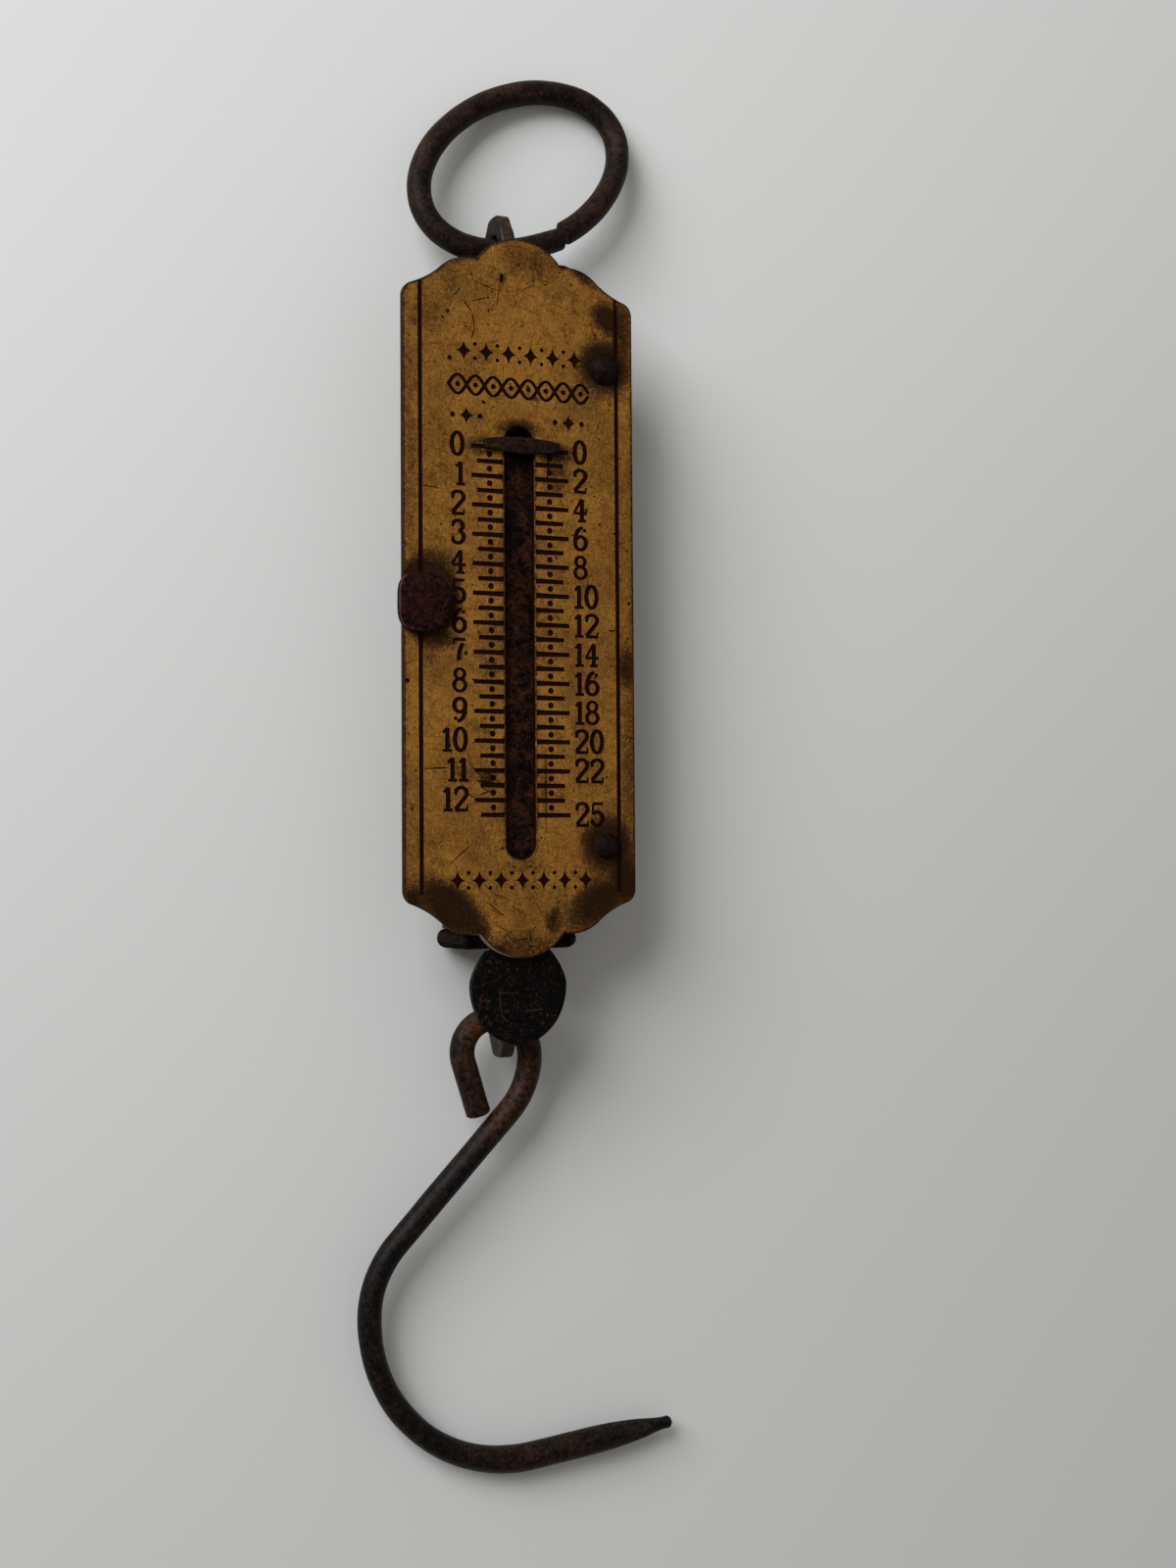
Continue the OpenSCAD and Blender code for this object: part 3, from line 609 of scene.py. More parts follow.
# %% Iron
HOT_RUST, SCRATCHED, RUBBED = (84, 46, 22), (70, 54, 46), (58, 50, 44)
FINE_MOTTLE, ROUGH_MOTTLE = (0.36, 0.64, 0.12, 1.9), (0.42, 0.58, 0.0, 2.1)


def iron(name, dark, worn, rust, rusty, shine, wear=0.35, rough=(0.42, 0.72), scale=0.35,
         bump=0.4, metallic=0.3, speckle=0.6, sparse=0.0, mottle=FINE_MOTTLE, lines=(),
         edges=False):
    """Forge-black iron with worn and rusty areas. Colours are 8-bit screen colours. rusty and
    wear are the shares of rust and wear, and scale is how fine their patches are. sparse leaves
    fewer specks. mottle is the range of the noise that shades it all, then the darkest and the
    lightest shade. lines are light scratches, each a start, a stop and a width, and edges shows
    rubbed edges where the mesh has them."""
    m, shader, w = material(name)
    mm = w.millimetres()
    rust_mask = w.use(patches, Vector=mm, Scale=scale, Cover=rusty, Softness=0.14, Grain=0.72)
    wear_mask = w.use(patches, Vector=w.vector("ADD", mm, (31.0, 7.0, 3.0)), Scale=scale * 2.1,
                      Cover=wear, Softness=0.12, Grain=0.66)
    fine = w.noise(mm, 1.7, 8.0, 0.82)
    grain = w.most(w.times(w.ramp(fine, 0.51 + sparse, 0.60 + sparse), speckle),
                   w.times(rust_mask, 0.75))
    colour = w.mix(w.times(wear_mask, 0.8), srgb(*dark), srgb(*worn))
    colour = w.coat(colour, grain, rust)
    hot = w.times(w.named("rust"), w.ramp(fine, 0.38, 0.58, 0.35, 1.0))
    colour = w.coat(colour, hot, HOT_RUST)
    shade = w.ramp(w.noise(mm, 1.2, 9.0, 0.84), *mottle, smooth=False)
    grey = w.node("CombineColor", Red=shade, Green=shade, Blue=shade)
    colour = w.mix(1.0, colour, grey, "MULTIPLY")
    scored = w.use(scratches, Vector=mm, Turn=0.7, Across=0.9, Along=0.22, Width=0.07, Share=0.3)
    colour = w.coat(colour, w.times(scored, 0.4), worn)
    if lines:
        drawn = [w.use(stroke, Vector=mm, Start=(x0, y0, 0), Stop=(x1, y1, 0), Width=width)
                 for x0, y0, x1, y1, width in lines]
        colour = w.coat(colour, w.times(w.most(*drawn), 0.4), SCRATCHED)
    if edges:
        rubbed = w.times(w.named("edge"), w.ramp(fine, 0.40, 0.58, 0.1, 0.8))
        colour = w.coat(colour, rubbed, RUBBED)
    relief = w.plus(w.use(pits, Vector=mm, Scale=1.9, Depth=0.45), w.times(grain, 0.4))
    fill_in(w, shader, colour, w.ramp(grain, 0.0, 0.8, metallic, 0.0),
            w.ramp(grain, 0.0, 0.8, *rough), shine,
            w.node("Bump", Strength=bump, Distance=0.14 * MM, Height=relief))
    return m


# %% Iron finishes
OVAL_SCRATCHES = ((-3.2, -60.0, -2.9, -63.7, 0.16), (-3.0, -60.2, -0.1, -60.3, 0.12),
                  (-2.9, -63.7, -1.8, -64.6, 0.14), (1.0, -63.1, 3.8, -62.8, 0.16),
                  (1.6, -57.4, 1.9, -54.9, 0.1), (-0.2, -61.6, -0.3, -62.9, 0.1))
case_iron = iron("blackened_iron", (5, 4, 4), (17, 13, 11), (38, 24, 15), rusty=0.44, shine=0.0,
                 rough=(0.6, 0.8), bump=1.0, metallic=0.0, speckle=0.8, edges=True)
casing_iron = iron("casing_iron", (17, 14, 12), (52, 45, 39), (62, 38, 22), rusty=0.46,
                   shine=0.2, wear=0.4, rough=(0.5, 0.75), scale=0.16, bump=0.5, metallic=0.4)
rivet_iron = iron("rivet_iron", (9, 6, 5), (32, 22, 17), (44, 22, 13), rusty=0.42, shine=0.05,
                  wear=0.4, scale=0.8, bump=0.9, metallic=0.0)
wire_iron = iron("ring_iron", (19, 14, 11), (52, 43, 37), (54, 34, 23), rusty=0.42, shine=0.09,
                 scale=0.2, bump=0.5, metallic=0.25)
hook_iron = iron("hook_iron", (8, 7, 7), (26, 24, 24), (36, 22, 14), rusty=0.42, shine=0.13,
                 scale=0.17, mottle=ROUGH_MOTTLE)
lug_iron = iron("lug_iron", (32, 23, 16), (74, 58, 42), (52, 32, 18), rusty=0.45, shine=0.2,
                wear=0.45)
bar_iron = iron("bar_iron", (12, 7, 5), (34, 23, 16), (56, 28, 15), rusty=0.46, shine=0.05,
                scale=0.26, mottle=ROUGH_MOTTLE)
pointer_iron = iron("pointer_iron", (30, 17, 10), (78, 55, 38), (20, 11, 7), rusty=0.4,
                    shine=0.12, bump=0.7, metallic=0.5)
disc_iron = iron("disc_iron", (2, 2, 2), (10, 7, 6), (84, 47, 29), rusty=0.1, shine=0.06,
                 wear=0.3, scale=0.7, bump=0.9, metallic=0.0, speckle=0.8, sparse=0.03,
                 mottle=ROUGH_MOTTLE, lines=OVAL_SCRATCHES)
maroon_iron = iron("side_rivet_iron", (32, 11, 9), (76, 37, 30), (9, 4, 3), rusty=0.4,
                   shine=0.04, rough=(0.5, 0.7), scale=0.7, bump=0.9, metallic=0.0,
                   mottle=ROUGH_MOTTLE)
# Painted highlight: a paler iron for the side rivet's rim where it faces left and down, as if lit.
lit_rim_iron = iron("side_rivet_lit_rim", (66, 52, 48), (104, 92, 88), (30, 14, 11), rusty=0.42,
                shine=0.2, rough=(0.4, 0.7), scale=0.5, bump=0.6)
spring_steel = iron("spring_steel", (58, 54, 52), (104, 100, 96), (70, 50, 38), rusty=0.3,
                    shine=0.4, rough=(0.35, 0.6), metallic=0.8)
print("materials:", len(bpy.data.materials))

# %% [markdown]
# ## Aged brass
# The face is sheet brass that has not been polished for decades. Its colour runs from gold,
# where fingers rub, to brown, and it is nearly black in the corners and in everything that is
# stamped. Round the rivets it is dark with tarnish, and black with painted shadow tight round
# each head. The dark at the pointer's ends and at the top of the slot is painted shadow mixed
# with dirt. The slot's inner walls are painted dark, as painted shade, in the colour of the
# marks. A pale line along the lower edge is bare metal with a painted highlight. The dirt and
# the painted shade follow the shape, so the mesh carries a few numbers for each vertex: how
# stained or shaded it is, how near the rim and the slot, whether it lies in a mark or on the
# slot's wall, and where the edge is pale. The material adds fine noise to them, which gives
# the stains their ragged edges.

# %% Stains and painted shadows
# Middle x and y, half width, half height, turn in degrees, and how dark; above 1 it is black
# Painted shadows are among them. The three rows of darkness 3 are black shade tight round the rivet
# heads. The stains at the pointer's ends and at the top of the slot are painted shadow mixed with
# dirt.
STAINS_AND_SHADOWS = np.array([
    (14.2, 36.4, 4.4, 4.3, 0, 1.2), (13.9, 36.2, 2.3, 2.3, 0, 3.0),
    (14.7, 43.9, 3.0, 2.1, -35, 1.15), (10.2, 50.8, 3.4, 1.0, -38, 1.0),
    (-9.2, 51.2, 3.0, 0.8, 15, 0.6), (-2.8, 48.6, 0.8, 1.0, 0, 0.7),
    (-14.4, 41.7, 3.6, 4.4, 0, 0.34), (16.9, 42.0, 2.2, 6.0, 0, 0.7),
    (-15.4, -1.0, 5.0, 5.6, 0, 1.1), (-15.2, -0.8, 4.4, 4.9, 0, 3.0),
    (-14.4, 4.2, 4.0, 2.2, 12, 0.8), (-13.6, -6.8, 3.8, 2.0, 0, 0.75),
    (17.6, -10.6, 1.8, 3.9, 0, 0.85), (-14.8, -9.9, 1.4, 1.4, 0, 0.45),
    (-5.1, -10.9, 1.5, 1.3, 0, 0.55), (6.2, 18.5, 2.0, 3.0, 0, 0.6),
    (5.9, 22.2, 3.2, 1.8, 0, 0.85), (-6.2, 22.6, 2.8, 1.5, 0, 0.75),
    (-0.2, 25.6, 3.6, 1.5, 0, 0.9), (14.1, -37.9, 4.2, 4.2, 0, 1.25),
    (14.1, -37.9, 2.2, 2.2, 0, 3.0), (17.0, -43.2, 3.0, 4.4, 0, 1.1),
    (-11.4, -47.4, 6.2, 3.3, -38, 1.2), (-7.2, -50.7, 2.4, 1.9, -45, 0.95),
    (-3.9, -53.7, 2.8, 1.1, -20, 0.9), (5.0, -49.4, 1.2, 2.4, -12, 0.85),
    (12.6, -46.6, 6.2, 3.4, 35, 1.0), (-9.3, -27.6, 3.2, 3.0, 20, 0.35),
    (-17.3, -46.0, 2.0, 2.4, 0, 0.95), (0.0, -41.0, 3.6, 1.4, 0, 0.4),
    (-11.0, 16.0, 3.0, 4.0, 20, 0.15), (11.5, -24.0, 2.5, 6.0, 0, 0.15),
    (18.0, -22.0, 1.8, 16.0, 0, 0.45), (2.5, 51.6, 7.0, 3.4, 0, 0.42),
    (-17.8, 20.0, 1.6, 24.0, 0, 0.36), (-11.0, 47.5, 4.5, 3.0, 20, 0.25),
    (0.5, -53.4, 6.5, 2.6, 0, 0.55), (3.0, 47.5, 14.0, 7.0, 0, 0.16),
    (0.0, -47.0, 17.0, 6.0, 0, 0.14), (-5.6, -27.9, 1.6, 1.8, 0, 0.75),
    (3.7, -29.0, 0.7, 6.5, 0, 0.4)])
STAIN_OR_SHADOW_REACH, STAIN_OR_SHADOW_FADE = 1.6, 1.4


def stain_field(p):
    """How dark each point of the face is: for every stain or painted shadow, its darkness times a
    smooth fall from its middle to 1.6 times its size; the darkest one counts."""
    x, y, rx, ry, turn, dark = STAINS_AND_SHADOWS.T
    c, s = np.cos(np.radians(turn)), np.sin(np.radians(turn))
    dx, dy = p[:, :1] - x, p[:, 1:2] - y
    far = np.hypot((dx * c + dy * s) / rx, (dy * c - dx * s) / ry)
    t = np.clip((STAIN_OR_SHADOW_REACH - far) / STAIN_OR_SHADOW_FADE, 0, 1)
    return (dark * t * t * (3 - 2 * t)).max(1)


# %% Brass colours and noises
GOLD, OLD_GOLD, BROWN, BLACK = (176, 122, 49), (144, 97, 39), (64, 37, 16), (12, 6, 3)
OLIVE, PALE_GOLD, WARM = (104, 80, 38), (218, 164, 84), (144, 84, 34)
# MARK_AND_WALL_SHADE_BROWN also paints shade on the slot's inner walls, and BARE_EDGE_HIGHLIGHT is
# partly a painted highlight.
SCRATCH_BROWN, MARK_AND_WALL_SHADE_BROWN, BARE_EDGE_HIGHLIGHT = (38, 20, 10), (40, 18, 9), (170, 156, 132)

brass, shader, w = material("aged_brass")
mm = w.millimetres()
cloud = w.noise(mm, 0.09, 6.0, 0.66, 0.3)
other = w.noise(w.vector("ADD", mm, (40.0, 9.0, 0.0)), 0.13, 5.0, 0.62, 0.2)
middling = w.noise(mm, 0.6, 8.0, 0.78)
fine = w.noise(mm, 2.6, 8.0, 0.85)
brushed = w.noise(w.vector("MULTIPLY", mm, (5.0, 0.5, 1.0)), 1.0, 6.0, 0.75)
crossed = w.noise(w.vector("MULTIPLY", mm, (0.4, 4.5, 1.0)), 1.0, 6.0, 0.75)
# The stain attribute carries painted shadows as well as stains. The mark attribute also covers
# painted shade on the slot's walls. The bare attribute is partly a painted highlight.
stain, rim, mark, bare_edge_highlight = (w.named(name) for name in ("stain", "rim", "mark", "bare_edge_highlight"))
colour = w.mix(w.ramp(cloud, 0.38, 0.60), srgb(*OLD_GOLD), srgb(*GOLD))
for noise, start, stop, most, paint in (
        (other, 0.54, 0.70, 0.6, OLIVE), (other, 0.46, 0.32, 0.5, WARM),
        (middling, 0.51, 0.67, 0.7, BROWN), (crossed, 0.50, 0.68, 0.6, BROWN),
        (brushed, 0.50, 0.68, 0.6, BROWN), (brushed, 0.46, 0.30, 0.45, PALE_GOLD)):
    colour = w.coat(colour, w.ramp(noise, start, stop, 0.0, most), paint)

# %% Dirt and painted shade on the brass
wander = w.ramp(w.noise(mm, 0.5, 8.0, 0.74), 0.25, 0.75, -0.35, 0.35, smooth=False)
# The stain attribute brings in painted shadows as well as stains, so this mask is dirt and painted
# shade.
dirt_and_shade = w.ramp(w.plus(stain, w.times(wander, 0.6)), 0.04, 1.0, smooth=False)
at_rim = w.ramp(w.plus(rim, w.times(wander, 0.5)), 0.05, 0.7, 0.8, 0.0)
near_rim = w.ramp(w.plus(rim, w.times(wander, 3.0)), 0.0, 1.8, 0.3, 0.0)
at_slot = w.ramp(w.plus(w.named("grime"), wander), 0.34, 1.14, 0.0, 0.72)
dirt_and_shade = w.most(dirt_and_shade, at_rim, near_rim, at_slot)
flecks = w.times(w.ramp(fine, 0.38, 0.62, -0.13, 0.09, smooth=False), w.ramp(dirt_and_shade, 0.1, 0.6))
dots = w.most(w.use(specks, Vector=mm, Scale=0.35, Size=0.22),
              w.use(specks, Vector=w.vector("ADD", mm, (5.0, 2.0, 0.0)), Scale=1.1, Size=0.34))
dirt_and_shade = w.most(w.plus(dirt_and_shade, flecks, clamp=True), w.times(dots, 0.85))
colour = w.coat(colour, w.ramp(dirt_and_shade, 0.0, 0.55, 0.0, 0.88), BROWN)
colour = w.coat(colour, w.ramp(dirt_and_shade, 0.35, 0.95, 0.0, 0.96), BLACK)
dark_grain = w.ramp(w.plus(fine, w.times(stain, 0.06)), 0.51, 0.62, 0.0, 0.7)
colour = w.coat(colour, dark_grain, BROWN)
clean = w.ramp(dirt_and_shade, 0.0, 0.9, 1.0, 0.12)
pale_grain = w.times(w.ramp(fine, 0.47, 0.36, 0.0, 0.6), clean)
colour = w.coat(colour, pale_grain, PALE_GOLD)

# %% Scratches, marks and painted light on the brass
scored = w.most(*[w.use(scratches, Vector=w.vector("ADD", mm, (turn * 40, across * 30, 0.0)),
                        Turn=turn, Across=across, Along=along, Width=width, Share=share)
                  for turn, across, along, width, share in (
                      (0.10, 0.55, 0.10, 0.08, 0.6), (0.5, 0.4, 0.12, 0.09, 0.4),
                      (-0.35, 0.7, 0.25, 0.07, 0.4), (1.9, 0.45, 0.16, 0.08, 0.32),
                      (1.3, 0.9, 0.4, 0.06, 0.35), (2.6, 0.6, 0.3, 0.07, 0.3))])
colour = w.coat(colour, w.times(scored, 0.85), SCRATCH_BROWN)
shiny = w.use(scratches, Vector=w.vector("ADD", mm, (3.0, 17.0, 0.0)), Turn=0.3, Across=1.1,
              Along=0.25, Width=0.06, Share=0.25)
colour = w.coat(colour, w.times(w.times(shiny, clean), 0.6), PALE_GOLD)
# Stamped marks, and painted shade on the slot's inner walls, in one dark brown.
colour = w.coat(colour, w.ramp(mark, 0.1, 0.5), MARK_AND_WALL_SHADE_BROWN)
# Bare metal with a painted highlight: a pale line along the lower edge.
colour = w.coat(colour, bare_edge_highlight, BARE_EDGE_HIGHLIGHT)
relief = w.plus(w.times(fine, 0.6), w.times(middling, 0.5))
relief = w.minus(w.minus(relief, w.times(scored, 0.8)), w.times(dots, 0.4))
dull = w.plus(w.times(w.most(dirt_and_shade, mark), 0.5), fine)
fill_in(w, shader, colour, metallic=w.ramp(mark, 0.0, 1.0, 0.72, 0.95),
        roughness=w.ramp(dull, 0.35, 1.0, 0.40, 0.76), shine=0.15,
        normal=w.node("Bump", Strength=0.35, Distance=0.1 * MM, Height=relief))
print("brass nodes:", len(brass.node_tree.nodes))

# %% [markdown]
# ## The figures
# The figures on the face were stamped with slab-serif punches: upright strokes are thick, level
# ones are thin. A broad pen does that by itself, so each figure is drawn as strokes of a pen
# whose width grows with the steepness of the stroke. A stroke is a ribbon round its line, and
# ribbons may overlap, because the triangulation joins them.

# %% Pen
FIGURE_H, FIGURE_W, ONE_W = 3.7, 2.55, 1.8
THIN, THICK, SERIF = 0.52, 0.74, 0.46
H, W = FIGURE_H / 2 - 0.16, FIGURE_W / 2 - 0.36


def line(x0, y0, x1, y1, steps=6):
    """Points along a straight stroke."""
    t = np.linspace(0, 1, steps + 1)[:, None]
    return np.array([x0, y0]) * (1 - t) + np.array([x1, y1]) * t


def ribbon(path, thin=THIN, thick=THICK, closed=False):
    """A pen stroke along a path in millimetres, as one four-sided outline for each of its
    segments. The pen is thick where the path is upright and thin where it is level."""
    ahead = np.roll(path, -1, 0) - np.roll(path, 1, 0) if closed else np.gradient(path, axis=0)
    ahead /= np.linalg.norm(ahead, axis=1)[:, None]
    half = (thin + (thick - thin) * np.abs(ahead[:, 1]) ** 1.5) / 2
    out = np.stack([-ahead[:, 1], ahead[:, 0]], 1) * half[:, None]
    left, right = path + out, path - out
    quads = np.stack([left, np.roll(left, -1, 0), np.roll(right, -1, 0), right], 1)
    return list(quads if closed else quads[:-1])


def ball(x, y, r):
    """A round end of a stroke, in millimetres."""
    return [ring_of(x, y, r, 10)]


def level(x0, x1, y, width=SERIF):
    """A level slab from x0 to x1."""
    return ribbon(line(x0, y, x1, y), width, width)


def figure(digit):
    """Outlines of one figure round its own middle: arcs and lines of the pen, level bars as
    slabs, and balls at the free ends."""
    if digit == "0":
        return ribbon(ring_of(0, 0, W - 0.06, 28, H), closed=True)
    if digit == "1":
        return (ribbon(line(0.1, H, 0.1, -H))
                + ribbon(line(-0.6, H - 0.75, 0.08, H - 0.02), 0.4, 0.46)
                + level(-0.62, 0.84, -H))
    if digit == "2":
        top = arc(0, H - 0.84, W, 0.84, 165, -38, 16)
        sweep = np.vstack([top, line(*top[-1], -W, -H + 0.12)[1:]])
        return (ribbon(sweep) + ball(-W + 0.08, H - 0.84, 0.32)
                + level(-W - 0.08, W + 0.12, -H, 0.5)
                + ribbon(line(W + 0.02, -H, W + 0.06, -H + 0.7), 0.3, 0.34))
    if digit == "3":
        return (ribbon(arc(-0.08, H - 0.76, W - 0.1, 0.78, 160, -85, 16))
                + ribbon(arc(-0.06, -H + 0.92, W, 0.94, 85, -160, 16))
                + ball(-W + 0.1, H - 0.66, 0.3) + ball(-W + 0.06, -H + 0.7, 0.31))
    if digit == "4":
        return (ribbon(line(0.3, H, 0.3, -H)) + ribbon(line(0.24, H, -W - 0.1, -0.5), 0.4, 0.46)
                + level(-W - 0.16, W + 0.24, -0.5) + level(-0.4, 1.0, -H))
    if digit == "5":
        return (level(-W + 0.12, W + 0.02, H - 0.04, 0.5)
                + ribbon(line(-W + 0.2, H, -W + 0.14, 0.02), 0.36, 0.42)
                + ribbon(arc(-0.06, -H + 1.04, W, 1.06, 142, -155, 18))
                + ball(-W + 0.06, -H + 0.7, 0.31))
    if digit == "6":
        return (ribbon(ring_of(0.03, -H + 1.02, W - 0.02, 22, 1.02), closed=True)
                + ribbon(arc(0.34, -0.2, 1.14, H + 0.2, 84, 182, 16))
                + ball(W - 0.2, H - 0.36, 0.3))
    if digit == "7":
        return (level(-W, W + 0.06, H - 0.06, 0.5)
                + ribbon(arc(1.3, -H, 1.4, 2 * H - 0.1, 122, 178, 12))
                + ribbon(line(-W + 0.04, H, -W + 0.04, H - 0.76), 0.3, 0.34))
    if digit == "8":
        return (ribbon(ring_of(0, H - 0.76, W - 0.16, 22, 0.76), 0.44, 0.62, closed=True)
                + ribbon(ring_of(0, -H + 0.9, W, 24, 0.9), 0.44, 0.66, closed=True))
    return [part * -1 for part in figure("6")]


def number(text, x, y, align):
    """Outlines of a whole number. align is left or right of x; y is its middle."""
    widths = [ONE_W if c == "1" else FIGURE_W for c in text]
    start = x if align == "left" else x - sum(widths)
    parts = []
    for c, width in zip(text, widths):
        parts += [p + [start + width / 2, y] for p in figure(c)]
        start += width
    return parts


print("figure 8 has", len(figure("8")), "outlines")

# %% [markdown]
# ## The scale and the ornament
# The left scale runs from 0 to 12 with a long mark at each whole number, the right one from 0
# to 25 with a long mark at every second division. The marks' pitch comes from the slot and the
# travel of the bar. Above and below the scale there are rows of lozenges and a twisted band, a
# common engraver's border.

# %% Marks
DIVISIONS = 25
ZERO_Y = middle("pointer")[1] - 0.65
TRAVEL = JOINTS["draw_bar_slide"]["range_m"][1] / MM
DIVISION = (TRAVEL - 1.3) / DIVISIONS
SLOT_TOP, SLOT_LOW = ZERO_Y + 3.6, ZERO_Y - DIVISION * DIVISIONS - 6.5
SLOT_LEFT, SLOT_RIGHT = -2.55, 2.25
LONG_X, SHORT_X, DOT_X = 7.95, 7.05, 5.0
MARK_W, MARK_TAPER, DOT_R = 0.78, 0.06, 0.48
MARKS_UP, FIGURES_UP, DRIFT = 0.25, 0.4, 0.4
LEFT_FIGURES_X, RIGHT_FIGURES_X = -8.9, 8.6
BAND_Y, BAND_HALF, BAND_WAVE = 31.8, 1.45, 5.75
LINE_HALF = 0.34


def mark_outline(x0, x1, y):
    """A level stroke from x0 to x1, a little narrower at its far end."""
    h, t = MARK_W / 2, MARK_TAPER
    return np.array([[x0, y - h], [x1, y - h + t], [x1, y + h - t], [x0, y + h]])


def lozenge(x, y, rx, ry):
    """A four-pointed lozenge with hollow sides: each side is a shallow arc."""
    tips = np.array([[rx, 0], [0, ry], [-rx, 0], [0, -ry]])
    t = np.linspace(0, 1, 7)[:-1, None]
    sides = [p * (1 - t) + q * t - 0.72 * (p + q) * t * (1 - t)
             for p, q in zip(tips, np.roll(tips, -1, 0))]
    return np.vstack(sides) + [x, y]


def scale_cuts():
    """Outlines of all marks, dots and figures of the two scales."""
    cuts = []
    for i in range(DIVISIONS + 1):
        y = ZERO_Y + MARKS_UP - i * DIVISION
        left = (LONG_X if i % 2 == 0 else SHORT_X) - DRIFT * i / DIVISIONS
        long_right = i == DIVISIONS or (i % 2 == 0 and i < DIVISIONS - 1)
        cuts.append(mark_outline(SLOT_LEFT - 0.2, -left, y))
        cuts.append(mark_outline(SLOT_RIGHT + 0.2, LONG_X if long_right else SHORT_X, y))
    for i in range(DIVISIONS):
        y = ZERO_Y + MARKS_UP - (i + 0.5) * DIVISION
        cuts.append(ring_of(DRIFT * i / DIVISIONS - DOT_X, y, DOT_R, 12))
        cuts.append(ring_of(DOT_X - 0.2, y, DOT_R, 12))
    for k in range(13):
        y = ZERO_Y + FIGURES_UP - 2 * k * DIVISION
        cuts += number(str(k), LEFT_FIGURES_X + DRIFT * 2 * k / DIVISIONS, y, "right")
    for k in [*range(0, 23, 2), 25]:
        cuts += number(str(k), RIGHT_FIGURES_X, ZERO_Y + FIGURES_UP - k * DIVISION, "left")
    return cuts


def ornament_cuts():
    """Rows of lozenges and dots, and a band of two twisted lines."""
    cuts = []
    for y, half, rx, ry in ((37.0, 10.3, 1.25, 1.75), (-43.2, 11.6, 1.2, 1.7)):
        xs = np.linspace(-half + rx, half - rx, int(2 * half / 3.3))
        cuts += [lozenge(x, y, rx, ry) for x in xs]
        cuts += [ring_of(x, y + s * 1.1, 0.32, 12) for x in (xs[1:] + xs[:-1]) / 2
                 for s in (-1, 1)]
    t = np.linspace(-11.6, 11.4, 110)
    for phase in (0, np.pi):
        wave = BAND_HALF * np.sin(2 * np.pi * t / BAND_WAVE + phase)
        cuts += ribbon(np.stack([t, BAND_Y + wave], 1), 0.42, 0.62)
    cuts += [ring_of(x, BAND_Y, 0.42, 12) for x in np.arange(-10.06, 11, BAND_WAVE / 2)]
    for x in (-8.7, 8.0):
        cuts += [lozenge(x, 27.1, 1.2, 1.5)]
        cuts += [ring_of(x + s * 2.2, 27.1, 0.42, 12) for s in (-1, 1)]
    return cuts


def border_cuts():
    """The two long border lines near the edges."""
    x, top, foot = PLATE_HALF - 2.75, TIP_Y - 8.0, -TIP_Y + 9.7
    return [resampled(np.array([[s * x - LINE_HALF, foot], [s * x + LINE_HALF, foot],
                                [s * x + LINE_HALF, top], [s * x - LINE_HALF, top]]), 4.0)
            for s in (-1, 1)]


# %% [markdown]
# ## Deep scratches and pits
# Most scratches on the face are only a change of colour, and the material draws those. The
# deepest ones, and a few rust pits, are real dents, so they are cut into the mesh as the marks
# are, only narrower. A scratch narrows towards both of its ends.

# %% Deep scratches and pits
# Start x and y, stop x and y, and width
HAND_SCRATCHES = (
    (-8.8, 44.3, -7.7, 43.0, 0.22), (-7.7, 43.0, -7.3, 40.6, 0.22),
    (-7.3, 40.6, -7.8, 38.7, 0.18), (-7.0, 47.7, -3.6, 46.6, 0.16),
    (-7.7, 44.6, -5.4, 45.4, 0.18), (-2.8, 49.3, -3.0, 48.0, 0.55),
    (-3.2, 48.0, -3.7, 44.2, 0.14), (-16.9, 16.1, -12.7, 15.7, 0.15),
    (14.5, -4.8, 15.6, -4.7, 0.3), (-11.6, -40.7, -8.2, -37.8, 0.18),
    (-15.6, -26.5, -11.8, -26.3, 0.2), (-6.0, -46.3, -2.8, -48.7, 0.17),
    (-5.3, -47.5, -3.2, -48.5, 0.15), (1.0, -50.6, 1.4, -52.8, 0.16),
    (0.3, -53.0, 2.6, -53.4, 0.15), (-1.5, -52.3, 1.3, -51.9, 0.15),
    (3.9, -23.1, 3.9, -35.6, 0.2), (4.7, 22.1, 4.4, 17.3, 0.3), (-6.2, 29.4, -5.6, 29.2, 0.45),
    (-4.4, -49.9, -1.7, -51.2, 0.13), (-4.9, -45.2, -2.4, -45.9, 0.13),
    (-3.4, -51.9, -1.2, -50.6, 0.12), (-2.0, -47.0, 0.6, -48.4, 0.12),
    (2.2, -46.6, 3.4, -49.0, 0.12), (-6.4, -43.6, -4.4, -45.4, 0.14),
    (0.2, 46.8, 2.6, 48.4, 0.12), (5.2, 45.6, 7.4, 45.0, 0.12), (-11.0, 44.9, -9.4, 46.6, 0.14),
    (-8.5, -25.6, -6.2, -27.8, 0.2), (-7.4, -28.2, -4.6, -28.5, 0.26),
    (-6.6, -29.2, -4.4, -30.3, 0.15), (-7.0, -30.4, -5.0, -29.7, 0.22),
    (-9.0, -29.9, -7.2, -31.2, 0.14), (-6.3, -26.4, -5.2, -27.3, 0.16))
# Middle x and y, and width
HAND_DOTS = ((-7.0, 47.7, 0.3), (-5.1, 45.4, 0.38), (-4.6, 43.7, 0.25), (4.3, 48.3, 0.35),
             (2.3, 48.8, 0.25), (-12.4, 41.8, 0.4), (-14.1, 39.5, 0.3), (-11.3, 35.7, 0.75),
             (-12.9, 10.3, 0.3), (15.6, 10.4, 0.35), (18.0, -0.4, 0.55), (12.6, 41.2, 0.35),
             (13.5, 41.4, 0.3), (16.8, 41.3, 0.35), (-18.2, -13.4, 0.8))


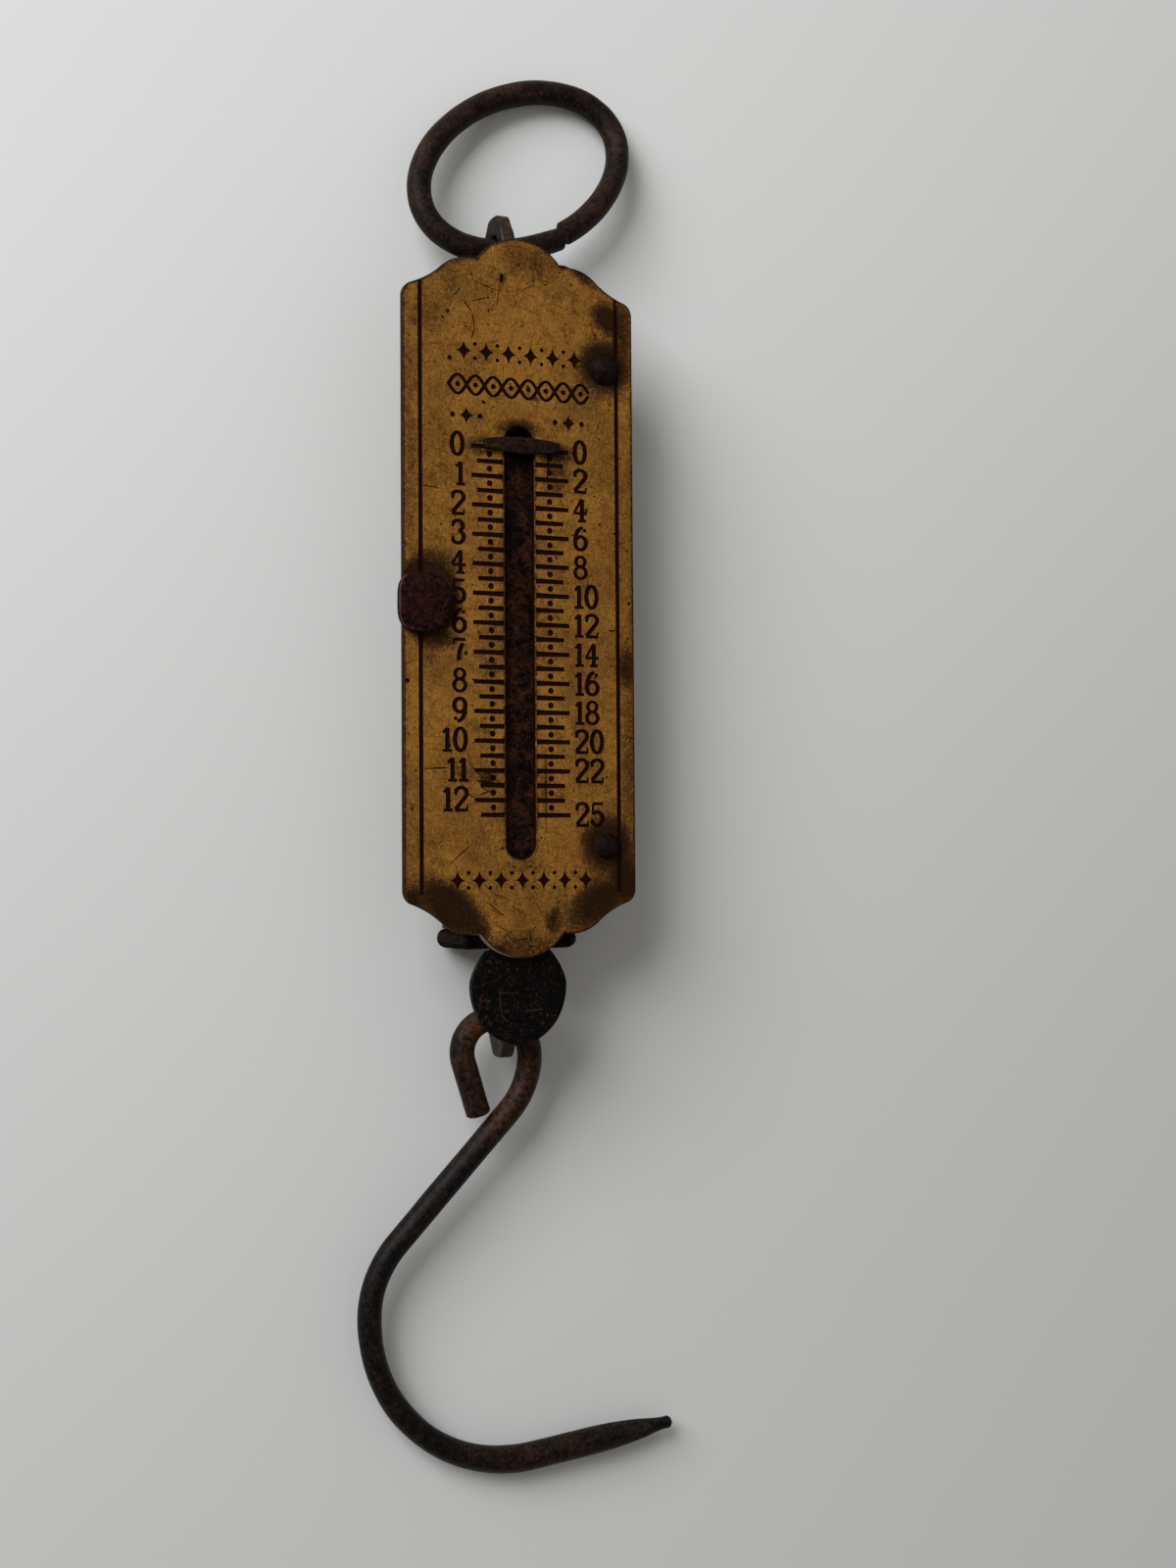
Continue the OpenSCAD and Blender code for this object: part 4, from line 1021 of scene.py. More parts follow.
def scratch_cuts():
    """Outlines of the deepest scratches, which narrow to their ends, and of some pits."""
    cuts = [ring_of(x, y, r / 2, 8) for x, y, r in HAND_DOTS]
    for x0, y0, x1, y1, width in HAND_SCRATCHES:
        path = line(x0, y0, x1, y1, 5)
        out = np.array([y0 - y1, x1 - x0]) / math.hypot(x1 - x0, y1 - y0)
        half = width / 2 * np.array([0.4, 0.8, 1, 1, 0.8, 0.4])[:, None]
        cuts.append(np.vstack([path + out * half, (path - out * half)[::-1]]))
    return cuts


# %% [markdown]
# ## The face plate
# The outline is one quarter, from the tip of the lobe to the side, and its mirror images: a
# round lobe, a small scallop, a hollow shoulder and a tight corner. The sheet isn't quite flat,
# and the triangulation gets loose points in between so that it can carry a slight wave.

# %% Outline of the face
LOBE_R, SCALLOP_R, SHOULDER_R, CORNER_R = 8.3, 6.6, 14.0, 2.2
NOTCH_X, SCALLOP_X, SCALLOP_END = 6.9, 8.1, 4.8
CORNER_DROP, CORNER_START = 10.3, 63
OUTLINE_STEP = 1.2


def shoulder_arc(p, q, r, steps):
    """Points of the hollow arc of radius r from p to q; its centre lies outside the plate."""
    run = q - p
    half = np.linalg.norm(run) / 2
    normal = np.array([-run[1], run[0]]) / (2 * half)
    centre = (p + q) / 2 + normal * math.sqrt(r * r - half * half)
    a, b = (math.degrees(math.atan2(*(v - centre)[::-1])) for v in (p, q))
    return arc(*centre, r, r, a, b, steps)


def plate_outline():
    """The scalloped outline of the face, anticlockwise."""
    notch = np.array([NOTCH_X, TIP_Y - LOBE_R + math.sqrt(LOBE_R ** 2 - NOTCH_X ** 2)])
    drop = math.sqrt(SCALLOP_R ** 2 - (SCALLOP_X - NOTCH_X) ** 2)
    middle_of_scallop = np.array([SCALLOP_X, notch[1] - drop])
    first = math.degrees(math.atan2(*(notch - middle_of_scallop)[::-1]))
    last = math.degrees(math.acos(SCALLOP_END / SCALLOP_R))
    lobe = arc(0, TIP_Y - LOBE_R, LOBE_R, LOBE_R, 90, math.degrees(math.acos(NOTCH_X / LOBE_R)), 22)
    scallop = arc(*middle_of_scallop, SCALLOP_R, SCALLOP_R, first, last, 12)
    corner = arc(PLATE_HALF - CORNER_R, TIP_Y - CORNER_DROP, CORNER_R, CORNER_R, CORNER_START, 0,
                 10)
    shoulder = shoulder_arc(scallop[-1], corner[0], SHOULDER_R, 10)
    quarter = np.vstack([lobe, scallop[1:], shoulder[1:], corner[1:]])
    half = np.vstack([quarter, quarter[::-1] * [1, -1]])
    whole = np.vstack([half, half[-2:0:-1] * [-1, 1]])
    return resampled(anticlockwise(whole), OUTLINE_STEP)


def slot_outline():
    """The slot: two half circles joined by straight sides."""
    r, x = (SLOT_RIGHT - SLOT_LEFT) / 2, (SLOT_LEFT + SLOT_RIGHT) / 2
    loop = np.vstack([arc(x, SLOT_TOP + 0.1 - r, r, r, 0, 180, 20),
                      arc(x, SLOT_LOW + r, r, r, 180, 360, 20)])
    return resampled(loop, OUTLINE_STEP)


# %% Face plate
# The side rivet's middle lies this far in from its right end
SIDE_IN = 4.48
RIVET_HOLE_R, MARK_DEPTH = 1.45, 0.2
RIVETS = [middle("upper_rivet")[:2], middle("lower_rivet")[:2],
          np.array([high("side_rivet")[0] - SIDE_IN, middle("side_rivet")[1]])]
outer, slot_loop = plate_outline(), slot_outline()


def sheet_wave(p):
    """Height of the sheet's slight unevenness: long waves, and a little dishing at rivets."""
    wave = 0.035 * wobble(p, 46.0, 5, 2)
    for r in RIVETS:
        wave = wave - 0.06 * np.exp(-np.sum((p - r) ** 2, 1) / 18)
    return wave


points, faces = slab(outer, [slot_loop, *[ring_of(*p, RIVET_HOLE_R, 20) for p in RIVETS]],
                     PLATE_T, edge=0.18, depth=MARK_DEPTH, spacing=0.85, top=sheet_wave,
                     cuts=scale_cuts() + ornament_cuts() + border_cuts() + scratch_cuts(),
                     base=FACE_Z - PLATE_T)
face = make("brass_face", points, faces, "case", brass, "face_plate", crisp=40)

# %% What the brass reads from the mesh
# A pale line along the lower edge, left of the middle: bare metal with a painted highlight.
BARE_HIGHLIGHT_LEFT, BARE_HIGHLIGHT_RIGHT, BARE_HIGHLIGHT_TOP, BARE_HIGHLIGHT_FADE = -8.5, -0.5, -50, 2
x, y, z = points.T
rim_gap, slot_gap = distance_to(outer, points[:, :2]), distance_to(slot_loop, points[:, :2])
bare_highlight_x = (np.clip((x - BARE_HIGHLIGHT_LEFT) / BARE_HIGHLIGHT_FADE, 0, 1)
          * np.clip((BARE_HIGHLIGHT_RIGHT - x) / BARE_HIGHLIGHT_FADE, 0, 1))
sunk = (z < FACE_Z - 0.1) & (z > FACE_Z - 0.3) & (rim_gap > 0.3) & (slot_gap > 0.15)
# The slot's inner walls are painted shade: they join the marks, so they get the marks' dark brown.
shaded_slot_walls = (slot_gap < 0.05) & (z < FACE_Z - 0.1)
attribute(face, "rim", rim_gap)
# Bare metal and a painted highlight, where the lower edge catches the lamp.
attribute(face, "bare_edge_highlight", bare_highlight_x * (y < BARE_HIGHLIGHT_TOP) * (rim_gap < 0.1) * 0.6)
attribute(face, "stain", stain_field(points[:, :2]))
# Marks, and the slot's inner walls as painted shade.
attribute(face, "mark", sunk | shaded_slot_walls)
attribute(face, "grime", np.clip(1 - slot_gap / 1.2, 0, 1))
print("face:", len(points), "points,", len(faces), "faces")

# %% [markdown]
# ## Turned and bevelled pieces
# A rivet is a profile turned round its own axis. The blocks inside and behind are plain, so
# they can keep the CAD shape, but no real edge is perfectly sharp. `softened` takes a copy of a
# CAD mesh, merges it, joins the triangles of each flat side and bevels the edges a little.


# %% Turned and bevelled
HAMMER_SIZE = 3.0


def turned(profile, x, y, corners, rough=0.0, seed=3):
    """Points and faces of a profile of (radius, height) turned round the Z axis at x, y. Its
    first and last radius are 0. The top wanders by the given height, as if hammered."""
    profile = np.asarray(profile, float)
    a = 2 * np.pi * np.arange(corners) / corners
    ring = profile[1:-1]
    grid = np.stack([ring[:, :1] * np.cos(a) + x, ring[:, :1] * np.sin(a) + y,
                     np.repeat(ring[:, 1:], corners, 1)], -1)
    points = np.vstack([grid.reshape(-1, 3), [[x, y, profile[0, 1]], [x, y, profile[-1, 1]]]])
    points[:, 2] += rough * wobble(points, HAMMER_SIZE, seed) * (points[:, 2] > FACE_Z + 0.3)
    return points, [f[::-1] for f in tube_faces(len(ring), corners)]


def bulge(c, s, power):
    """How far |u|^power + |v|^power = 1 lies from its middle in the direction c, s."""
    return (np.abs(c) ** power + np.abs(s) ** power) ** (-1 / power)


def joined(*shells):
    """Several closed shells as one piece."""
    points, faces, start = [], [], 0
    for p, f in shells:
        points.append(p)
        faces += [[start + int(i) for i in face] for face in f]
        start += len(p)
    return np.vstack(points), faces


def softened(node, body, material, width):
    """A copy of a CAD node with bevelled edges, which replaces the node."""
    mesh = bpy.data.meshes.new(node + "_soft")
    grid = bmesh.new()
    grid.from_mesh(nodes[node].data)
    bmesh.ops.remove_doubles(grid, verts=grid.verts, dist=1e-6)
    bmesh.ops.dissolve_limit(grid, angle_limit=math.radians(1), verts=grid.verts,
                             edges=grid.edges)
    sharp = [e for e in grid.edges if len(e.link_faces) == 2 and e.calc_face_angle(0) > 0.5]
    bmesh.ops.bevel(grid, geom=sharp, offset=width * MM, segments=2, profile=0.5, affect="EDGES",
                    clamp_overlap=True)
    bmesh.ops.recalc_face_normals(grid, faces=grid.faces)
    grid.to_mesh(mesh)
    grid.free()
    placed(mesh, body, material, node)


# %% [markdown]
# ## Rivets
# Two small rivets with hammered domes hold the right edge, and one large flat head the left.
# The dome is a piece of a sphere, a little flattened on top. Each shank goes through the face
# and the ear behind it, and ends in a low spread head.

# %% Small rivets
SHANK_R, TAIL_R, TAIL_H, TAIL_ROUND, EAR_T = 1.4, 2.2, 0.9, 0.4, 1.0


def tail_profile():
    """The part of a rivet's profile below the face: shank, then the spread end."""
    foot = FACE_Z - PLATE_T - EAR_T
    edge = arc(TAIL_R - TAIL_ROUND, foot - TAIL_H + TAIL_ROUND, TAIL_ROUND, TAIL_ROUND, 0, -90, 4)
    return [(SHANK_R, FACE_Z), (SHANK_R, foot), (TAIL_R, foot), *edge, (0, foot - TAIL_H)]


for name, place, worn, seed in (("upper_rivet", RIVETS[0], 0.0, 3),
                                ("lower_rivet", RIVETS[1], 0.45, 8)):
    r = (high(name)[0] - low(name)[0]) / 2 - worn
    h = high(name)[2] - FACE_Z - worn / 3
    sphere = (r * r + h * h) / (2 * h)
    t = np.linspace(0, 1, 14)[1:]
    dome = [(r * u, FACE_Z + math.sqrt(sphere ** 2 - (r * u) ** 2) - sphere + h) for u in t]
    profile = [(0, FACE_Z + h), *dome, (r, FACE_Z - 0.08), *tail_profile()]
    points, faces = turned(profile, *place, corners=40, rough=0.07, seed=seed)
    make(name + "_hammered", points, faces, "case", rivet_iron, name)

# %% Side rivet
SIDE_R, SIDE_LEFT, SIDE_RIGHT = 4.4, 4.2, 3.8
FLAT_POWER, ROUND_POWER = 3.4, 2.3
a = np.radians(np.linspace(0, 360, 73)[:-1])
c, s = np.cos(a), np.sin(a)
swell = bulge(c, s, np.where(c < 0, FLAT_POWER, ROUND_POWER))
head_loop = np.stack([np.where(c < 0, SIDE_LEFT, SIDE_RIGHT) * c * swell, SIDE_R * s * swell], 1)


def hammered_head(p):
    """Height of a hammered head: worn down towards its rim, with soft dents."""
    far = np.linalg.norm(p - RIVETS[2], axis=1) / SIDE_R
    return -0.28 * far ** 4 + 0.05 * wobble(p, 3.6, 12, 2) - 0.08


plate = slab(resampled(head_loop + RIVETS[2], 0.6), [], high("side_rivet")[2] - FACE_Z,
             edge=0.42, steps=5, spacing=0.45, top=hammered_head, base=FACE_Z)
profile = [(0, FACE_Z + 0.1), (SHANK_R, FACE_Z + 0.1), *tail_profile()]
points, faces = joined(plate, turned(profile, *RIVETS[2], 28))
head = make("side_rivet_head", points, faces, "case", maroon_iron, "side_rivet")
# Painted highlight: the rim faces that look left and down get the paler iron.
repaint(head, lit_rim_iron,
        lambda f: 0.15 < f.normal.z < 0.72 and f.normal.x + 0.6 * f.normal.y < -0.1)
print("rivets made")

# %% [markdown]
# ## Pointer, stud and bar
# The pointer is a short lens-shaped bar that crosses the slot. A stud goes down from it, through
# the slot, into the flat bar behind the face. The bar ends below the case in an oval, which
# was cut from the same stock and filed round at its edges.

# %% Pointer
END_W = 0.65
pointer_mid = middle("pointer")
half_len, half_w = (high("pointer") - pointer_mid)[:2]
pointer_low, pointer_high = low("pointer")[2], high("pointer")[2]
lens_r = (half_len ** 2 + (half_w - END_W) ** 2) / (2 * (half_w - END_W))
lens_a = math.degrees(math.asin(half_len / lens_r))
upper = arc(0, half_w - lens_r, lens_r, lens_r, 90 - lens_a, 90 + lens_a, 24)
lens = np.vstack([upper, -upper]) + pointer_mid[:2]


def ridge(p):
    """Height of the pointer's top: a low ridge along its middle."""
    across = np.abs(p[:, 1] - pointer_mid[1]) / half_w
    return -0.22 * across ** 1.5


points, faces = slab(resampled(lens, 0.6), [], pointer_high - pointer_low, edge=0.2,
                     spacing=0.4, top=ridge, base=pointer_low)
make("pointer_bar", points, faces, "bar", pointer_iron, "pointer")

# %% Stud
STUD_R, STUD_END_R = 1.5, 0.9
bar_low, bar_high = low("draw_bar")[2], high("draw_bar")[2]
stud_top, stud_low = high("pointer_stud")[2], low("pointer_stud")[2]
profile = [(0, stud_top - 0.04), (STUD_END_R * 0.8, stud_top - 0.05), (STUD_END_R, stud_top - 0.2),
           (STUD_END_R, pointer_low), (STUD_R, pointer_low), (STUD_R, bar_high),
           (STUD_END_R, bar_high), (STUD_END_R, stud_low), (0, stud_low)]
points, faces = turned(profile, *pointer_mid[:2], 28)
make("stud", points, faces, "bar", bar_iron, "pointer_stud")

# %% Bar with its oval
BAR_T = bar_high - bar_low
BAR_HALF, OVAL_A, OVAL_B = 4.5, high("draw_bar")[0], 9.0
OVAL_Y = low("draw_bar")[1] + OVAL_B
NECK_UP, NECK_IN = 5.3, 0.18
SHOULDER = OVAL_Y + NECK_UP
cut_angle = math.degrees(math.asin(NECK_UP / OVAL_B))
oval = arc(0, OVAL_Y, OVAL_A, OVAL_B, 180 - cut_angle, 360 + cut_angle, 64)
above = np.clip((oval[:, 1] - OVAL_Y) / NECK_UP, 0, 1)
oval[:, 0] *= 1 - NECK_IN * above ** 1.5
bar_top = high("draw_bar")[1]
strip = np.array([[BAR_HALF, SHOULDER], [BAR_HALF, bar_top], [-BAR_HALF, bar_top],
                  [-BAR_HALF, SHOULDER]])
bar_loop = resampled(np.vstack([oval, strip]), 0.9)


def oval_swell(p):
    """Height of the bar's top: the oval is a little hollow, as it was hammered out."""
    far = np.hypot(p[:, 0] / OVAL_A, (p[:, 1] - OVAL_Y) / OVAL_B)
    dip = 0.12 * np.clip(1 - far, 0, 1)
    return (0.04 * (wobble(p, 5.0, 21) - 1) - dip) * (p[:, 1] < SHOULDER)


def square_hole(x, y, width, length):
    """A rectangle round a middle point."""
    corner = np.array([[-1, -1], [1, -1], [1, 1], [-1, 1]]) * [width / 2, length / 2]
    return resampled(corner + [x, y], 0.5)


FOOT_Y = middle("spring_foot")[1]
FOOT_HOLE = (0, FOOT_Y, 1.66, high("spring_foot")[1] - low("spring_foot")[1] - 1.94)
TENON = (0.0, HOOK_EYE[1] + 2.3, 3.6, 4.4)
STUD_HOLE_R = 0.96
bar_holes = [square_hole(*FOOT_HOLE), square_hole(*TENON),
             ring_of(*pointer_mid[:2], STUD_HOLE_R, 20)]
points, faces = slab(bar_loop, bar_holes, BAR_T, edge=0.1, spacing=1.0, top=oval_swell,
                     base=bar_low)
bar = make("bar_and_oval", points, faces, "bar", disc_iron, "draw_bar")
repaint(bar, bar_iron, lambda f: f.center.y > SHOULDER * MM)
print("bar:", len(points), "points")

# %% [markdown]
# ## Lugs
# Each lug is a piece of thick plate on edge, with a round body, a hole and a narrow rounded
# nose. It is drawn in the plane of its hole and given its thickness across the balance, with
# edges filed rounder than those of the other pieces.

# %% Lugs
BODY_R, NOSE_R, LUG_EDGE = 4.5, 2.4, 0.45
RING_LUG_T, HOOK_LUG_T = 2.3, 2.15
RING_HOLE_R, HOOK_HOLE_R, STEM_HOLE_R = 2.4, 2.8, 1.15
STEM_HALF, STEM_HOLE_Y = 3.0, 46.14
NOSE_POWER = 3.6
NECK_ABOVE, NECK_BELOW = 5.4, 2.7
FILLET_RX, FILLET_RY, FILLET_Z = 1.1, 1.6, 1.4
TENON_FIT = 0.985


def blunt(x, y, r, start, stop, steps):
    """An arc that swells towards its corners, on |u|^3.6 + |v|^3.6 = 1."""
    a = np.radians(np.linspace(start, stop, steps + 1))
    c, s = np.cos(a), np.sin(a)
    swell = bulge(c, s, NOSE_POWER)
    return np.stack([x + r * swell * c, y + r * swell * s], 1)


def on_edge(outline, holes, t):
    """A plate of thickness t standing on edge: the outline's x runs along Y and its y along
    Z."""
    points, faces = slab(resampled(outline, 0.8), holes, t, LUG_EDGE, steps=4, spacing=1.2,
                         base=-t / 2)
    return points[:, [2, 0, 1]], faces


def nose_arcs(reach):
    """Angle where the body meets the nose, and the nose's own middle."""
    nose_x = reach - NOSE_R
    return math.degrees(math.acos((BODY_R - NOSE_R) / nose_x)), nose_x


# %% Ring lug
ring_y, ring_z = RING_EYE[1:]
lean, nose_x = nose_arcs(high("ring_lug")[1] - ring_y)
seat, stem_end = high("top_cap")[1], low("ring_lug")[1]
seat_angle = 180 - math.degrees(math.acos((ring_y - seat) / BODY_R))
outline = np.vstack([
    [[stem_end, ring_z - STEM_HALF], [seat, ring_z - STEM_HALF]],
    arc(ring_y, ring_z, BODY_R, BODY_R, -seat_angle, -lean, 14),
    blunt(ring_y + nose_x, ring_z, NOSE_R, -lean, lean, 26),
    arc(ring_y, ring_z, BODY_R, BODY_R, lean, seat_angle, 14),
    [[seat, ring_z + STEM_HALF], [stem_end, ring_z + STEM_HALF]]])
holes = [ring_of(ring_y, ring_z, RING_HOLE_R, 40), ring_of(STEM_HOLE_Y, ring_z, STEM_HOLE_R, 24)]
points, faces = on_edge(outline, holes, RING_LUG_T)
lug = make("ring_lug_filed", points, faces, "case", lug_iron, "ring_lug")
repaint(lug, hook_iron, lambda f: abs(f.normal.x) > 0.9)

# %% Hook lug
hook_y, hook_z = HOOK_EYE[1:]
lean, nose_x = nose_arcs(hook_y - low("hook_lug")[1])
neck_up, neck_low = hook_y + NECK_ABOVE, hook_y - NECK_BELOW
outline = np.vstack([
    [[neck_low, bar_low]],
    arc(hook_y, hook_z, BODY_R, BODY_R, 127, 180 - lean, 6),
    blunt(hook_y - nose_x, hook_z, NOSE_R, 180 - lean, 180 + lean, 26),
    arc(hook_y, hook_z, BODY_R, BODY_R, 180 + lean, 345, 24),
    arc(neck_up - FILLET_RX, hook_z + FILLET_Z, FILLET_RX, FILLET_RY, -30, 0, 5),
    [[neck_up, bar_low]]])
lug_shell = on_edge(outline, [ring_of(hook_y, hook_z, HOOK_HOLE_R, 40)], HOOK_LUG_T)
peg, peg_faces = slab(square_hole(*TENON), [], BAR_T, edge=0.14, spacing=0.8,
                      top=oval_swell, base=bar_low)
peg[:, :2] = (peg[:, :2] - TENON[:2]) * TENON_FIT + TENON[:2]
points, faces = joined(lug_shell, (peg, peg_faces))
lug = make("hook_lug_filed", points, faces, "bar", lug_iron, "hook_lug")
repaint(lug, disc_iron, lambda f: f.center.z > bar_low * MM)
print("lugs made")

# %% [markdown]
# ## Ring
# The ring was once round, and years of load pulled it into an oval. It hangs from its lug at
# one place on that oval, and its two cut ends meet at the lower right. The oval is an ellipse,
# turned and shifted so that the place in the lug lies at the joint's axis, and the whole ring
# leans back until it rests on the table.

# %% Ring
RING_A, RING_B, RING_SKEW = 19.1, 12.1, 33.0
RING_HANG, RING_SPLIT, RING_SLIT = 231.8, 268.8, 0.36
RING_R, RING_THINNER = 1.95, 0.04
CLEAR = 0.03
# How far each cut end is bent outwards, or inwards if negative, and how fast that fades
END_OUT, END_IN, END_FADE = 0.42, -0.1, 2.6
DROP, DROP_FADE = 0.1, 3
END_THINNER, THINNER_FADE = 0.16, 3.5


def on_oval(a):
    """Points of the ring's middle line in its own plane: an ellipse turned by the skew."""
    p = np.stack([RING_A * np.cos(a), RING_B * np.sin(a)], -1)
    c, s = math.cos(math.radians(RING_SKEW)), math.sin(math.radians(RING_SKEW))
    return p @ np.array([[c, s], [-s, c]])


def leaning(flat, eye, angle, sign):
    """Turns a flat shape back about the joint's axis; sign is -1 for the ring, 1 for the
    hook. Gives its points and, for each of them, the direction square to the shape."""
    c, s = math.cos(angle), math.sin(angle)
    points = np.stack([flat[:, 0], eye[1] + flat[:, 1] * c, eye[2] + sign * flat[:, 1] * s], 1)
    return points, np.tile([0.0, -sign * s, c], (len(flat), 1))


slit = RING_SLIT / RING_A
a = np.radians(RING_SPLIT) + np.linspace(slit, 2 * np.pi - slit, 260)
flat = on_oval(a) - on_oval(np.radians(RING_HANG))
lean = math.asin((AXIS_Z - RING_R - CLEAR) / flat[:, 1].max())
path, side = leaning(flat, RING_EYE, lean, -1)
along = distances(path)
to_end = np.minimum(along, along[-1] - along)
second_half = along > along[-1] / 2
outward = flat - flat.mean(0)
outward /= np.linalg.norm(outward, axis=1)[:, None]
outward = leaning(outward, RING_EYE, lean, -1)[0] - RING_EYE
spread = np.where(second_half, END_OUT, END_IN) * np.exp(-to_end / END_FADE)
path = path + outward * spread[:, None]
path = path - side * (DROP * np.exp(-to_end / DROP_FADE))[:, None]
thinner = np.where(second_half, END_THINNER, 0.0) * np.exp(-to_end / THINNER_FADE)
radius = RING_R - RING_THINNER - thinner
points, faces = wire(path, radius, 40, side, rough=0.022, size=9.0, seed=4, chamfer=0.34)
make("iron_ring", points, faces, "hanger", wire_iron, "ring")
print("ring:", len(points), "points, lean", round(math.degrees(lean), 1), "degrees")

# %% [markdown]
# ## Hook
# The smith bent the hook from one rod: a loose eye, a long shank, a wide load bend and a
# straight point that is drawn out thin. Its middle line is walked like a path on a map: so
# far ahead, then so far round a bend. The rod is thicker in the belly, where it carries the
# load, and ends in a small blunt knob.

# %% Hook
HOOK_START, SHANK_TURN = 108.4, 42.3
HOOK_WALK = [(8.6, 0.0), (5.07, -HOOK_START), (6.1, -90.0), (12.5, -SHANK_TURN), (26.3, 0.0),
             (16.2, SHANK_TURN), (24.2, 97.1), (23.8, 0.0)]
# Distance from the tip, and radius
HOOK_TAPER = np.array([[0, 0.82], [0.9, 0.74], [3.7, 1.3], [6.4, 1.72], [11.9, 2.14], [28, 2.14],
                       [42, 1.86], [60, 1.83], [90, 1.92]])
EYE_TOP = np.array([-1.52, 0.27])
BELLY_R, KNOB, STEP = 2.2, 0.12, 0.55


def walked(parts, heading):
    """The middle line of a bent rod. Each part is a length and 0, or a radius and the angle
    turned; the line is the running sum of short steps in the running direction."""
    steps, turns, stops = [], [], []
    for size, turn in parts:
        length = size if turn == 0 else abs(math.radians(turn)) * size
        n = max(3, int(round(length / STEP)))
        steps += [length / n] * n
        turns += [turn / n] * n
        stops.append(len(steps))
    turns = np.array(turns)
    way = np.radians(heading + np.cumsum(turns) - turns / 2)
    hops = np.array(steps)[:, None] * np.stack([np.cos(way), np.sin(way)], 1)
    return np.vstack([[0, 0], np.cumsum(hops, 0)]), stops


flat, stops = walked(HOOK_WALK, HOOK_START)
flat = flat - flat[stops[1]] + EYE_TOP
along = distances(flat)
to_tip = along[-1] - along
radius = np.interp(to_tip, *HOOK_TAPER.T)
radius = np.convolve(np.pad(radius, 4, mode="edge"), np.ones(9) / 9, "valid")
radius = radius + KNOB * np.exp(-((to_tip - 0.5) / 0.55) ** 2)
lean = math.asin((AXIS_Z - BELLY_R - CLEAR) / (CLEAR - flat[:, 1].min()))
path, side = leaning(flat, HOOK_EYE, lean, 1)
points, faces = wire(path, radius, 36, side, rough=0.02, size=11.0, seed=6, chamfer=0.3)
hook = make("iron_hook", points, faces, "load_hook", hook_iron, "hook")
print("hook:", len(points), "points, lean", round(math.degrees(lean), 1), "degrees")

# %% Rust on the hook
# How rusty, middle x and y, and the distance at which about a third of it is left
RUST_SPOTS = ((0.9, -3.6, -66.4, 2.6), (0.25, -3.6, -72.0, 4.0), (0.3, 4.2, -72.0, 6.0),
              (0.25, -1.0, -79.0, 4.5), (0.12, 6.0, -130.0, 11.0))
rust = sum(most * np.exp(-((points[:, 0] - x) ** 2 + (points[:, 1] - y) ** 2) / r ** 2)
           for most, x, y, r in RUST_SPOTS)
attribute(hook, "rust", np.clip(rust, 0, 1))
print("rustiest place of the hook:", np.round(points[rust.argmax()], 1))

# %% [markdown]
# ## Spring
# The spring hides in the case. Its upper loop lies at the case's stem and its lower one at the
# bar's foot, and it is tied to neither body. The coil is a circle that climbs along Y; at each
# end it bends into a loop that is half an oval.

# %% Spring
SPRING_R, COIL_R, TURNS, LOOP_BEND = 0.7, 5.15, 16, 1.2
COIL_LOW, COIL_HIGH = 12.7, 42.64


def spring_end(coil_y, out, hole_y):
    """One end of the spring: a bend off the coil, then half an oval round the hole."""
    b = np.radians(np.linspace(0, 90, 8))[1:]
    bend = np.stack([np.full(7, COIL_R), coil_y + out * LOOP_BEND * (1 - np.cos(b)),
                     AXIS_Z - out * LOOP_BEND * (1 - np.sin(b))], 1)
    root = coil_y + out * LOOP_BEND
    c = np.radians(np.linspace(0, 150, 34))[1:]
    loop = np.stack([COIL_R * np.cos(c), root + (hole_y - root) * np.sin(c),
                     np.full(33, AXIS_Z)], 1)
    loop_side = np.stack([np.cos(c) / COIL_R, np.sin(c) / (hole_y - root), np.zeros(33)], 1)
    return np.vstack([bend, loop]), np.vstack([np.tile([1.0, 0, 0], (7, 1)), loop_side])


bend_angle = math.asin(LOOP_BEND / COIL_R)
a = np.linspace(bend_angle, 2 * np.pi * TURNS - bend_angle, TURNS * 20)
coil_side = np.stack([np.cos(a), np.zeros(len(a)), np.sin(a)], 1)
coil = COIL_R * coil_side + [0, 0, AXIS_Z]
coil[:, 1] = np.linspace(COIL_LOW, COIL_HIGH, len(a))
foot_end, foot_side = spring_end(COIL_LOW, -1, FOOT_Y)
stem_end, stem_side = spring_end(COIL_HIGH, 1, STEM_HOLE_Y)
path = np.vstack([foot_end[::-1], coil, stem_end])
side = np.vstack([foot_side[::-1], coil_side, stem_side])
points, faces = wire(path, np.full(len(path), SPRING_R), 12, side, rough=0.0, size=9.0, seed=1,
                     chamfer=0.1)
spring = make("coil_spring", points, faces, None, spring_steel, "spring")
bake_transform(spring)
print("spring:", len(points), "points")

# %% [markdown]
# ## Case
# The caps are thick plates with round edges. The trough and the small pieces that hold the caps
# keep their CAD shapes, with edges that are a little soft.

# %% Caps
CAP_EDGE, CAP_CORNER = 1.4, 3.0
CAP_OVERHANG, TROUGH_T, CHEEK_GAP = 1.0, 1.0, 0.03
CHEEK_LENGTH, CHEEK_HEIGHT, CHEEK_T = 4.0, 6.0, 1.0
CHEEK_X = high("top_cap")[0] - CAP_OVERHANG - TROUGH_T - CHEEK_GAP - CHEEK_T / 2
RUBBED_WIDTH = 0.55
STEM_SLOT_HALF = (1.3, 3.1)
BAR_SLOT_HALF, BAR_GAP = 4.7, 0.2


